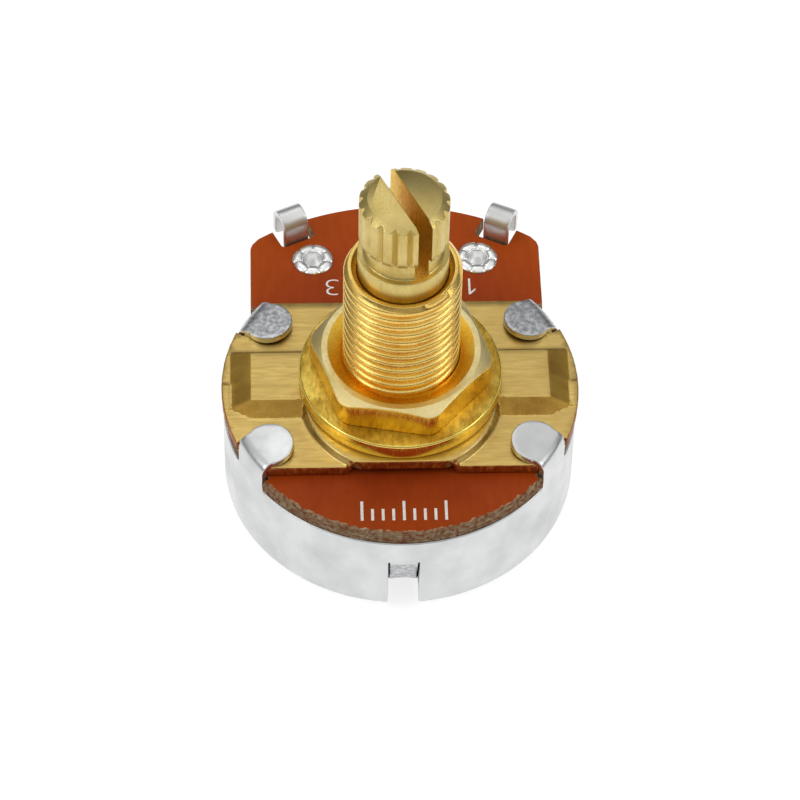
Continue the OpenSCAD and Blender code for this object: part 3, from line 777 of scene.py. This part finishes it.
# Eyelets
# Tubular rivets of tinned brass that hold the terminals. Their upper ends are split
# into petals and rolled outwards over the board.
eyelet_bore = 0.65
eyelet_barrel = 0.95
brim_r = 1.3
brim_low, brim_high = 6.35, 6.6
petal_half = math.radians(27.5)
petal_mid = 1.08
petal_wide = 0.38
petal_z = 0.08
petal_thick = 0.22


def lathe(name, profile, turns=128):
    """A closed profile of (radius, height) points turned round the axis"""
    points = []
    for k in range(turns):
        a = 2 * math.pi * k / turns
        points += [(r * math.cos(a), r * math.sin(a), z) for r, z in profile]
    return make_piece(name, points, skin(turns, len(profile), True))


def joined(name, pieces):
    """Several pieces as one object, with their solids kept whole"""
    shape = bmesh.new()
    for piece in pieces:
        shape.from_mesh(piece.data)
        bpy.data.objects.remove(piece)
    mesh = bpy.data.meshes.new(name)
    for face in shape.faces:
        face.smooth = True
    shape.to_mesh(mesh)
    shape.free()
    return placed(name, mesh)


bright_tin = tinned("bright_tin", (0.95, 0.95, 0.94), (0.82, 0.83, 0.82), (0.2, 0.35))
petal_rule = node_group("split_head", Count=7, Seed=3, Sway=0.05, Shrink=0.95, Tin=None)
rule = Tree(petal_rule)
spots = rule.add("GeometryNodePoints", {"Count": rule.given("Count")})
index = rule.add("GeometryNodeInputIndex")
share = rule.sum("DIVIDE", index.outputs[0], rule.given("Count"))
lean = rule.add("FunctionNodeRandomValue", {"Seed": rule.given("Seed"), 2: -1.0, 3: 1.0})
sway = rule.sum("MULTIPLY", lean.outputs[1], rule.given("Sway"))
swing = rule.sum("MULTIPLY_ADD", share, 2 * math.pi, sway)
turn = rule.add("ShaderNodeCombineXYZ", {"Z": swing})
size = rule.add("FunctionNodeRandomValue", {"Seed": rule.given("Seed"), 2: rule.given("Shrink"), 3: 1.04})
laid = rule.add("GeometryNodeInstanceOnPoints", {"Points": spots.outputs[0], "Instance": rule.given("Mesh"),
                                                "Rotation": turn.outputs[0], "Scale": size.outputs[1]})
rule.close(laid.outputs[0], rule.given("Tin"))
# One petal is a curved pillow, from which the rule makes the ring
points = []
across, along = 14, 9
for i in range(along):
    t = 2 * i / (along - 1) - 1
    plump = math.sqrt(max(0.0, 1 - abs(t) ** 3.2))
    a = petal_half * t
    for j in range(across):
        b = 2 * math.pi * j / across
        r = petal_mid + petal_wide * math.cos(b) * (0.8 + 0.2 * plump)
        z = petal_z + petal_thick * math.sin(b) * (0.55 + 0.45 * plump) - 0.1 * (r - 0.8)
        points.append((r * math.cos(a), r * math.sin(a), z))
for number, angle in enumerate(lug_turns, 1):
    head = make_piece("petal", points, skin(along, across))
    grow(head, petal_rule, Seed=number * 5, Tin=bright_tin)
    head.data.transform(Matrix.Translation(Vector((0, 0, board_top)) * MM))
    tube = [(eyelet_bore, brim_low, 0.04), (brim_r, brim_low, 0.08), (brim_r, brim_high, 0.06),
            (eyelet_barrel, brim_high, 0.02), (eyelet_barrel, board_top + 0.12, 0.1),
            (eyelet_bore, board_top + 0.2, 0.08)]
    barrel = lathe("barrel", rounded(tube), 48)
    eyelet = joined("eyelet_head_%d" % number, [head, barrel])
    eyelet.data.transform(Matrix.Translation(Vector((eyelet_r, 0, 0)) * MM))
    turned_piece(eyelet, 90 + angle)
    eyelet.data.materials.clear()
    eyelet.data.materials.append(bright_tin)
    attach(eyelet, "housing")
    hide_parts("eyelet_%d" % number)


# Mounting plate
# Pressed from gold-plated sheet, with a round boss for the panel and a bead on each
# side. It is sheared, so its cut edges are rough and show the copper under the plating.
plate_t = 0.85
plate_r = 12.1
plate_front = -7.05
plate_rear = 7.42
boss_h = 0.55
boss_slope = 0.28
plate_hole_r = 3.75
bosses = ((0.0, 7.05), (-1.25, 6.8))
bead_reach = 10.1
bead_end = 1.4
bead_front = -1.6
bead_rear = 2.58
rear_slope = 0.4
ledge_h = 0.06
slant = (0.51, 0.86)
slant_out = 7.51
slant_wide = 0.95


def eased(t, soft=0.09):
    """A ramp from 0 to 1 with a small bend at each end"""
    return 0.5 * (np.sqrt(t ** 2 + soft ** 2) - np.sqrt((t - 1) ** 2 + soft ** 2) + 1)


def plate_form(flat):
    """The plate's outer face, with its boss, its bead with slanted front corners, and its ledges"""
    x, y = np.abs(flat[:, 0]), flat[:, 1]
    raised = np.zeros(len(flat))
    for middle, r in bosses:
        raised = np.maximum(raised, eased((r - np.hypot(x, y - middle)) / boss_slope))
    ends = eased((bead_reach + bead_end - x) / bead_end, 0.05)
    rear = eased((bead_rear + rear_slope - y) / rear_slope, 0.1)
    steep = eased((y - bead_front + 0.55) / 0.55, 0.07)
    gentle = eased((y - bead_front + 1.15) / 0.6, 0.07)
    corner = eased((slant_out - slant[0] * x + slant[1] * y) / slant_wide, 0.05)
    bead = np.minimum(np.minimum(ends, rear), np.minimum(0.6 * steep + 0.4 * gentle, corner))
    ledge = eased((x - 11.4) / 0.2) * eased((y + 2.0) / 0.2) * eased((0.35 - y) / 0.2)
    return np.column_stack([flat, plate_top + boss_h * np.maximum(raised, bead) + ledge_h * ledge])


def notch_end(y):
    """Where a tab's notch runs out through the plate's long side"""
    a = math.radians(tab_turn)
    return (abs(y) - deep_r * math.sin(a)) / math.cos(a)


gap = math.degrees(math.asin(tab_gap / plate_r))
edge = []
for side, long_side in ((0, plate_rear), (180, plate_front)):
    way_out = notch_end(long_side)
    edge += arc_of(plate_r, side - tab_turn + gap, side + tab_turn - gap)
    edge += [tuple(p) for p in turned([(deep_r, -tab_gap), (deep_r, way_out)], side + tab_turn)]
    edge += [tuple(p) for p in turned([(deep_r, -way_out), (deep_r, tab_gap)], side + 180 - tab_turn)]
edge = spaced(np.array(edge), 0.17)
ragged = uneven(len(edge), 11, 4)
plate_steps = [(0.07 + 0.02 * ragged, 0.0)]
for inwards, down in ((0.035, 0.02), (0.01, 0.06), (0.0, 0.14), (0.0, 0.34), (0.02, 0.5), (0.0, 0.66)):
    plate_steps.append((np.maximum(inwards + 0.02 * np.roll(ragged, int(90 * down)), 0), down))
plate_steps.append((0.05, plate_t))

# The marks follow the foot and the top of each slope, and a loose grid lies between them
marks = []
for middle, r in bosses:
    for step in (0.08, 0.0, -0.08, -0.16, -0.24, -0.34):
        marks += [(x, middle + y) for x, y in circle(r + step, 260)]
for foot, across in ((bead_front, (0.12, 0, -0.12, -0.3, -0.46, -0.55, -0.65, -0.85, -1.06, -1.15, -1.25)),
                     (bead_rear, (-0.1, 0, 0.1, 0.2, 0.3, 0.4, 0.5))):
    marks += [(s * x, foot + step) for step in across for s in (-1, 1) for x in np.arange(6.5, 11.9, 0.2)]
for past in (-0.12, 0, 0.12, 0.45, 0.85, bead_end - 0.1, bead_end, bead_end + 0.1):
    marks += [(s * (bead_reach + past), y) for s in (-1, 1) for y in np.arange(-2.7, 3.0, 0.2)]
for side in (-1, 1):
    for depth in (-0.08, 0.0, 0.08, 0.45, 0.85, 0.95):
        for way in np.arange(-0.3, 1.7, 0.14):
            x = 11.35 - slant[1] * way - slant[0] * depth
            marks.append((side * x, -2.0 - slant[0] * way + slant[1] * depth))
marks += [(x + 0.25 * (j % 2), y) for x in np.arange(-12, 12.1, 0.5)
          for j, y in enumerate(np.arange(-7, 7.1, 0.43))]
marks = np.array(marks)
near = kdtree.KDTree(len(marks))
for i, p in enumerate(marks):
    near.insert((p[0], p[1], 0), i)
near.balance()
kept = [i for i, p in enumerate(marks) if all(j >= i for _, j, _ in near.find_range((p[0], p[1], 0), 0.075))]
plate = pressed_sheet("plate", edge, [circle(plate_hole_r, 96)], marks[kept], plate_form, plate_t,
                      0.05, 0.1, plate_steps)


def gilded(name, light, dark, rough, brushed=(1, 1, 1), scale=6.0, depth=0.002, pits=0.001):
    """Gold plating over brass: warm clouds, a brushed or grainy skin and small pits"""
    mat, tree, shader, where = material(name, 1.0, rough)
    clouds = grain(tree, where, 0.5, 3.0)
    lines = grain(tree, where, scale, 3.0, brushed)
    specks = grain(tree, where, 14.0, 2.0)
    tone = ramp(tree, clouds, (0.3, dark), (0.65, light))
    tone = blend(tree, 0.18, tone, ramp(tree, lines, (0.3, 0.6), (0.65, 1.0)), "MULTIPLY")
    paint(tree, shader, tone, ramp(tree, lines, (0.3, rough + 0.1), (0.7, rough - 0.06)))
    relief(tree, shader, (lines, depth), (specks, pits))
    return mat


plate_gold = gilded("brushed_gold", (0.7, 0.5, 0.16), (0.66, 0.45, 0.14), 0.34, (0.12, 1, 1), 6.0, 0.0008)
plate.data.materials.append(plate_gold)
mat, tree, shader, where = material("sheared_copper", 0.55, 0.45)
tears = grain(tree, where, 4.0, 4.0, (1, 1, 0.35))
bands = grain(tree, where, 1.6, 2.0, (0.3, 0.3, 1.4))
copper = (0.42, 0.1, 0.012)
paint(tree, shader, ramp(tree, tears, (0.3, (0.24, 0.045, 0.006)), (0.55, copper), (0.75, (0.7, 0.32, 0.06))))
relief(tree, shader, (tears, 0.025), (bands, 0.02))
plate.data.materials.append(mat)
# A darker copy of the plating for the slopes: painted shade
plate.data.materials.append(gilded("pressed_gold_painted_shade", (0.5, 0.31, 0.06), (0.33, 0.18, 0.035), 0.42,
                                   (1, 1, 1), 8.0, 0.006, 0.003))
# Its sheared edges show copper, and the slopes of the boss and the bead are grainy and painted a darker gold,
# as painted shade
spots = np.array([face.center[:2] for face in plate.data.polygons]) / MM
outside = ~inside(spots, inset(edge, 0.1))
near_side = (spots[:, 1] < plate_front + 0.7) | (spots[:, 1] > plate_rear - 0.7)
for face, out, near in zip(plate.data.polygons, outside, near_side):
    if (out and abs(face.normal.z) < 0.75) or (near and abs(face.normal.y) > 0.75):
        face.material_index = 1
    elif abs(face.center.y) < 2.85 * MM and 0.2 < face.normal.z < 0.975:
        face.material_index = 2
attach(plate, "housing")
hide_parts("mounting_plate")


# Bushing
# A turned barrel of gold-plated brass with a fine thread, staked through the plate.
# The thread is cut by its rule: how deep it goes follows from the turn and the height.
barrel_r = 3.93
barrel_top = 21.4
flange_r = 4.9
flange_low, flange_high = 8.35, 8.75
staked_r = 3.7
flank_low = 9.7
shaft_bore = 3.05
thread_pitch = 0.74
lower = rounded([(shaft_bore, flange_low, 0.1), (flange_r, flange_low, 0.05), (flange_r, flange_high, 0.05),
                 (staked_r, flange_high, 0), (staked_r, flank_low, 0)])
upper = rounded([(barrel_r, barrel_top - 0.32, 0.08), (barrel_r - 0.3, barrel_top, 0.08),
                 (shaft_bore + 0.35, barrel_top, 0.08), (shaft_bore, barrel_top - 0.35, 0.1),
                 (shaft_bore, 8.5, 0)])
flank = [(barrel_r, z) for z in np.arange(flank_low, barrel_top - 0.4, thread_pitch / 14)]
blank = lathe("bushing_body", [tuple(p) for p in lower] + flank + [tuple(p) for p in upper], 144)
gold = gilded("thread_gold", (0.95, 0.68, 0.2), (0.86, 0.54, 0.12), 0.24, (1, 1, 1), 9.0, 0.006, 0.003)
thread_rule = node_group("cut_thread", Pitch=thread_pitch * MM, Depth=0.4 * MM, Radius=barrel_r * MM,
                         Start=9.9 * MM, Crest=0.34, Ragged=0.03 * MM, Gold=None)
rule = Tree(thread_rule)
place = rule.add("GeometryNodeInputPosition")
axes = rule.add("ShaderNodeSeparateXYZ", {0: place.outputs[0]})
turn = rule.sum("ARCTAN2", axes.outputs[1], axes.outputs[0])
squares = [rule.sum("POWER", axes.outputs[i], 2.0) for i in (0, 1)]
round_r = rule.sum("SQRT", rule.sum("ADD", *squares))
phase = rule.sum("FRACT", rule.sum("SUBTRACT", rule.sum("DIVIDE", axes.outputs[2], rule.given("Pitch")),
                                   rule.sum("DIVIDE", turn, 2 * math.pi)))
wave = rule.sum("ABSOLUTE", rule.sum("SUBTRACT", rule.sum("MULTIPLY", phase, 2.0), 1.0))
wave = rule.sum("DIVIDE", rule.sum("SUBTRACT", wave, rule.given("Crest")),
                rule.sum("SUBTRACT", 1.0, rule.given("Crest")))
wave = rule.sum("POWER", rule.sum("MAXIMUM", wave, 0.0), 1.5)
rough_skin = rule.add("ShaderNodeTexNoise", {"Vector": place.outputs[0], "Scale": 4200.0, "Detail": 2.0})
wear = rule.sum("MULTIPLY", rough_skin.outputs[0], rule.given("Ragged"))
groove = rule.sum("SUBTRACT", rule.sum("SUBTRACT", rule.given("Radius"), wear),
                  rule.sum("MULTIPLY", wave, rule.given("Depth")))
new_r = rule.sum("MINIMUM", round_r, groove)
ratio = rule.sum("DIVIDE", new_r, round_r)
moved = rule.add("ShaderNodeCombineXYZ", {"X": rule.sum("MULTIPLY", axes.outputs[0], ratio),
                                          "Y": rule.sum("MULTIPLY", axes.outputs[1], ratio),
                                          "Z": axes.outputs[2]})
on_flank = rule.sum("MULTIPLY", rule.sum("GREATER_THAN", axes.outputs[2], rule.given("Start")),
                    rule.sum("GREATER_THAN", round_r, rule.sum("SUBTRACT", rule.given("Radius"), 0.52 * MM)))
cut = rule.add("GeometryNodeSetPosition", {0: rule.given("Mesh"), "Selection": on_flank,
                                           "Position": moved.outputs[0]})
rule.close(cut.outputs[0], rule.given("Gold"))
bushing = grow(blank, thread_rule, Gold=gold)
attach(bushing, "housing")
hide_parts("bushing")


# Flat washer
# A thick ring of bright gold-plated brass that spreads the nut's load over the panel.
washer_z = 9.6
washer_t = 1.3
washer_r = 6.85
washer_bore = 4.13
washer_top = washer_z + washer_t
section = rounded([(washer_bore, washer_z, 0.12), (washer_r, washer_z, 0.22), (washer_r, washer_top, 0.18),
                   (washer_bore, washer_top, 0.12)], 6)
washer = lathe("washer", section, 192)
bright = gilded("bright_gold", (0.98, 0.78, 0.2), (0.94, 0.7, 0.14), 0.2, (1, 1, 0.2), 5.0, 0.0006, 0.0004)
washer.data.materials.append(bright)
mat, tree, shader, where = material("turned_face", 1.0, 0.42)
turns = grain(tree, where, 5.0, 4.0, (1, 0.4, 1))
patches = grain(tree, where, 0.3, 2.0)
tone = ramp(tree, patches, (0.42, (0.6, 0.37, 0.05)), (0.58, (1.0, 0.74, 0.15)))
paint(tree, shader, blend(tree, 0.6, tone, ramp(tree, turns, (0.35, 0.4), (0.6, 1.0)), "MULTIPLY"))
relief(tree, shader, (turns, 0.02))
washer.data.materials.append(mat)
for face in washer.data.polygons:
    if face.normal.z > 0.9:
        face.material_index = 1
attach(washer, "housing")
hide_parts("flat_washer")


# Hexagon nut
# Turned from gold-plated hexagon bar: its upper corners are bevelled to a circle,
# and a wide countersink leads the thread in.
nut_z = 10.9
nut_h = 2.2
nut_half = 5.5
nut_turn = -11.0
nut_bore = 3.72
nut_sink = 4.95
corner_round = 1.3
nut_corner = nut_half / math.cos(math.radians(30))
nut_top = nut_z + nut_h
hexagon = [(*turned([(nut_corner, 0)], nut_turn + 60 * k)[0], corner_round) for k in range(6)]
hexagon = spaced(rounded(hexagon, 6), 0.16)
points = []
for x, y in hexagon:
    r, a = math.hypot(x, y), math.atan2(y, x)
    fall = max(0.05, (r - (nut_half - 0.12)) * 0.48)
    section = rounded([(nut_bore, nut_z, 0.05), (r - 0.02, nut_z, 0.08), (r, nut_top - fall, 0.06),
                       (nut_half - 0.16, nut_top, 0.05), (nut_sink, nut_top, 0.08),
                       (barrel_r + 0.06, nut_top - 0.3, 0.03), (nut_bore, nut_top - 0.6, 0.03)], 3)
    points += [(s * math.cos(a), s * math.sin(a), z) for s, z in section]
nut = make_piece("nut", points, skin(len(hexagon), len(section), True))
# The flats and bevels, the top face and the countersink
for look in (("nut_gold", (1.0, 0.7, 0.11), (0.94, 0.58, 0.06), 0.24, (1, 1, 0.1), 6.0, 0.012, 0.003),
             ("nut_face_gold", (0.9, 0.76, 0.38), (0.8, 0.62, 0.24), 0.34, (1, 1, 1), 5.0, 0.014, 0.006),
             ("nut_sink_gold", (0.96, 0.6, 0.07), (0.88, 0.46, 0.03), 0.3, (1, 1, 1), 6.0, 0.004, 0.003)):
    nut.data.materials.append(gilded(*look))
for face in nut.data.polygons:
    out = math.hypot(face.center.x, face.center.y) / MM
    if face.normal.z > 0.8 and out > nut_sink - 0.05:
        face.material_index = 1
    elif out < nut_sink and face.normal.z > 0.1:
        face.material_index = 2
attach(nut, "housing")
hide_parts("hex_nut")


# Shaft
# Brass rod, turned down to a short neck, with eighteen rolled splines. A saw slot splits
# the tip in two, so that a knob can be pressed on. Its lower end is riveted in the rotor.
shaft_r = 3.0
collar_top = 22.9
neck_top = 24.3
tip_z = 28.0
crest_r = 2.95
root_r = 2.68
neck_r = 2.56
tip_r = 2.4
tip_bevel = 0.36
splines = 18
groove_share = 0.46
slot_side_x = 0.5
rod_base = 5.0
ring_groove_r = 2.5
ring_low, ring_high = 7.67, 8.06
seat_r, seat_flat = 2.6, 2.1
rivet_r = 2.9
rivet_low, rivet_high = 1.0, 1.4
shaft_rest = 26.0
brass = gilded("turned_brass", (0.72, 0.57, 0.22), (0.62, 0.47, 0.15), 0.34, (1, 1, 0.25), 6.0, 0.008, 0.004)


def spline_radius(angle):
    """The outline of the splines at an angle: a flat crest, then a V down to the root"""
    t = abs((angle / (2 * math.pi) * splines) % 1 - 0.5) * 2
    return crest_r - (crest_r - root_r) * min(1, max(0, (groove_share - t) / 0.4))


def half_outline():
    """Half of the split tip in plan: angles along its outer side, then places along the slot"""
    limit = math.acos(slot_side_x / crest_r)
    steps = 16 * splines
    arc = [2 * math.pi * k / steps for k in range(-steps // 4, steps // 4 + 1)]
    arc = [-limit] + [a for a in arc if abs(a) < limit - 0.01] + [limit]
    return [(a, None) for a in arc] + [(None, y) for y in np.arange(2.6, -2.7, -0.4)]


def outer_limit(z):
    """How far out the tip reaches at a height: its neck, the ends of the splines, its bevel"""
    if z < neck_top:
        return neck_r + 0.1 * max(0, 1 - (z - collar_top) / 0.12) ** 2
    if z < neck_top + 0.22:
        return neck_r + (crest_r - neck_r) * math.sin(math.pi / 2 * (z - neck_top) / 0.22)
    if z < tip_z - tip_bevel:
        return 9.0
    return crest_r - (crest_r - tip_r) * max(0, (z - tip_z + tip_bevel) / tip_bevel) ** 1.1


levels = [collar_top + d for d in (-0.3, -0.001, 0.0, 0.04, 0.12)] + [23.4, 23.9, neck_top - 0.05, neck_top]
levels += [neck_top + d for d in (0.04, 0.09, 0.15, 0.22)] + list(np.arange(24.9, 27.6, 0.45))
levels += [tip_z - tip_bevel * d for d in (1.0, 0.86, 0.72, 0.58, 0.46, 0.34, 0.22, 0.12, 0.04, 0.0)]
halves = []
for side in (0, 180):
    plan = half_outline()
    points = []
    for z in levels:
        most = outer_limit(z) if z >= collar_top else neck_r + 0.1
        wall = slot_side_x + (0.05 * max(0, (z - tip_z + 0.05) / 0.05))
        for a, y in plan:
            if a is None:
                reach = math.sqrt(min(most, crest_r) ** 2 - wall ** 2) - 0.05
                points.append((wall, y / 2.6 * min(reach, 2.85), z))
            else:
                r = min(spline_radius(a), most) if z >= neck_top else most
                points.append((max(r * math.cos(a), wall), r * math.sin(a), z))
    halves.append(turned_piece(make_piece("half", points, skin(len(levels), len(plan))), side))
rod = lathe("rod", rounded([(0.0, rod_base, 0), (shaft_r, rod_base, 0.05), (shaft_r, ring_low, 0.02),
                            (ring_groove_r, ring_low, 0), (ring_groove_r, ring_high, 0),
                            (shaft_r, ring_high, 0.02), (shaft_r, collar_top, 0.06), (0.0, collar_top, 0)]))
rivet = lathe("rivet", rounded([(0.0, rivet_low, 0), (rivet_r, rivet_low, 0.15), (rivet_r, rivet_high, 0.1),
                                (0.0, rivet_high, 0)]), 64)
seat = [(x, max(-seat_flat, min(seat_flat, y))) for x, y in circle(seat_r, 72)]
points = [(x, y, z) for z in (rivet_high - 0.05, rod_base + 0.1) for x, y in seat]
shaft = joined("shaft_body", halves + [rod, rivet, make_piece("seat", points, skin(2, len(seat)))])
shaft.data.materials.append(brass)
mat, tree, shader, where = material("sawn_brass", 1.0, 0.42)
saw_marks = grain(tree, where, 5.0, 4.0, (1, 1, 0.4))
paint(tree, shader, ramp(tree, saw_marks, (0.3, (0.72, 0.43, 0.04)), (0.7, (0.97, 0.68, 0.15))))
relief(tree, shader, (saw_marks, 0.02))
shaft.data.materials.append(mat)
for face in shaft.data.polygons:
    x, y, z = face.center / MM
    in_slot = z > collar_top - 0.01 and abs(x) < slot_side_x + 0.04 and abs(y) < crest_r
    if in_slot and abs(face.normal.y) < 0.5:
        face.material_index = 1
turned_piece(shaft, shaft_rest)
shaft.data.set_sharp_from_angle(angle=math.radians(40))
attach(shaft, "rotor")
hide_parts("shaft")


# Works inside the can
# The printed track and rings, and what turns with the shaft: a moulded disc with its
# spring wiper, the plate that meets the stop tongue, and the ring that holds the shaft.
def coated(name, light, dark, rough, metallic=0.0, scale=3.0, depth=0.004):
    """A printed or moulded skin: two tones in fine grain"""
    mat, tree, shader, where = material(name, metallic, rough)
    skin = grain(tree, where, scale, 4.0)
    paint(tree, shader, ramp(tree, skin, (0.3, dark), (0.7, light)),
          ramp(tree, skin, (0.3, rough + 0.08), (0.7, rough - 0.08)))
    relief(tree, shader, (skin, depth))
    return mat


finishes = {
    "carbon_track": coated("carbon_ink", (0.03, 0.03, 0.032), (0.012, 0.012, 0.013), 0.5),
    "end_leads": coated("silver_ink", (0.75, 0.74, 0.7), (0.6, 0.59, 0.55), 0.45, 0.8),
    "collector_ring": coated("silver_ink_ring", (0.75, 0.74, 0.7), (0.6, 0.59, 0.55), 0.45, 0.8),
    "thrust_washer": coated("spring_steel_washer", (0.55, 0.56, 0.58), (0.4, 0.41, 0.43), 0.3, 1.0),
    "retaining_ring": coated("spring_steel_ring", (0.5, 0.51, 0.53), (0.36, 0.37, 0.39), 0.3, 1.0),
    "rotor_disc": coated("brown_moulding", (0.09, 0.05, 0.035), (0.05, 0.028, 0.02), 0.5),
    "stop_plate": coated("zinc_plate", (0.62, 0.63, 0.65), (0.48, 0.49, 0.5), 0.35, 1.0),
    "wiper_spring": coated("spring_bronze", (0.75, 0.47, 0.25), (0.6, 0.34, 0.15), 0.28, 1.0)}
for name, mat in finishes.items():
    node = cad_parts[name]
    node.data.materials.clear()
    node.data.materials.append(mat)


# Studio
# A white floor, a pale world and soft lamps, and the camera where the photograph's stood.
scene = bpy.context.scene
floor_mesh = bpy.data.meshes.new("floor")
corners = [(x, y, -0.0002) for x, y in ((-3, -3), (3, -3), (3, 3), (-3, 3))]
floor_mesh.from_pydata(corners, [], [(0, 1, 2, 3)])
floor = placed("floor", floor_mesh)
mat = bpy.data.materials.new("white_floor")
mat.use_nodes = True
tree = mat.node_tree
tree.nodes.clear()
paper = add_node(tree, "ShaderNodeBsdfDiffuse", {"Color": (0.4, 0.4, 0.4, 1)})
path = add_node(tree, "ShaderNodeLightPath")
# It glows only where the camera, a reflection or a clear piece looks at it
seen = path.outputs["Is Camera Ray"]
for way in ("Is Glossy Ray", "Is Transmission Ray"):
    seen = add_node(tree, "ShaderNodeMath", {0: seen, 1: path.outputs[way]}, operation="ADD").outputs[0]
power = add_node(tree, "ShaderNodeMath", {0: seen, 1: 0.78}, operation="MULTIPLY", use_clamp=True)
glow = add_node(tree, "ShaderNodeEmission", {"Color": (1, 1, 1, 1), "Strength": power.outputs[0]})
both = add_node(tree, "ShaderNodeAddShader", {0: paper.outputs[0], 1: glow.outputs[0]})
add_node(tree, "ShaderNodeOutputMaterial", {"Surface": both.outputs[0]})
floor.data.materials.append(mat)

world = bpy.data.worlds.new("studio")
scene.world = world
world.use_nodes = True
tree = world.node_tree
where = add_node(tree, "ShaderNodeTexCoord").outputs["Generated"]
axes = add_node(tree, "ShaderNodeSeparateXYZ", {"Vector": where})
sky = ramp(tree, axes.outputs["Z"], (0.0, 0.2), (0.35, 0.16), (0.6, 0.34), (0.72, 0.8), (1.0, 0.92))
tree.links.new(sky, tree.nodes["Background"].inputs["Color"])


def lamp(name, place, size, power, aim=(0, 0, 0.012)):
    """A soft square lamp that points at the part"""
    light = bpy.data.lights.new(name, "AREA")
    light.size = size
    light.energy = power
    holder = placed(name, light)
    holder.location = place
    holder.rotation_euler = (Vector(place) - Vector(aim)).to_track_quat("Z", "Y").to_euler()


lamp("lamp_left", (-0.5, -0.15, 0.4), 0.3, 0.6)
lamp("lamp_right", (0.5, -0.1, 0.35), 0.25, 0.45)
lamp("lamp_rear", (-0.1, 0.4, 0.65), 0.3, 0.15)

aim = Vector((0.00002, 0.0, 0.00743))
distance = 0.27
azimuth, elevation, roll = math.radians(2.75), math.radians(51), math.radians(-1.46)
back = Vector((-math.sin(azimuth) * math.cos(elevation), -math.cos(azimuth) * math.cos(elevation),
               math.sin(elevation)))
right = Vector((math.cos(azimuth), -math.sin(azimuth), 0))
up = back.cross(right)
right_rolled = right * math.cos(roll) - up * math.sin(roll)
up_rolled = right * math.sin(roll) + up * math.cos(roll)
camera_data = bpy.data.cameras.new("camera")
camera_data.sensor_width = 36
camera_data.lens = 178.5
camera_data.clip_start = 0.01
camera_data.clip_end = 10
camera = placed("camera", camera_data)
turn = Matrix((right_rolled, up_rolled, back)).transposed()
camera.matrix_world = Matrix.Translation(aim + back * distance) @ turn.to_4x4()
scene.camera = camera
scene.view_settings.view_transform = "Standard"
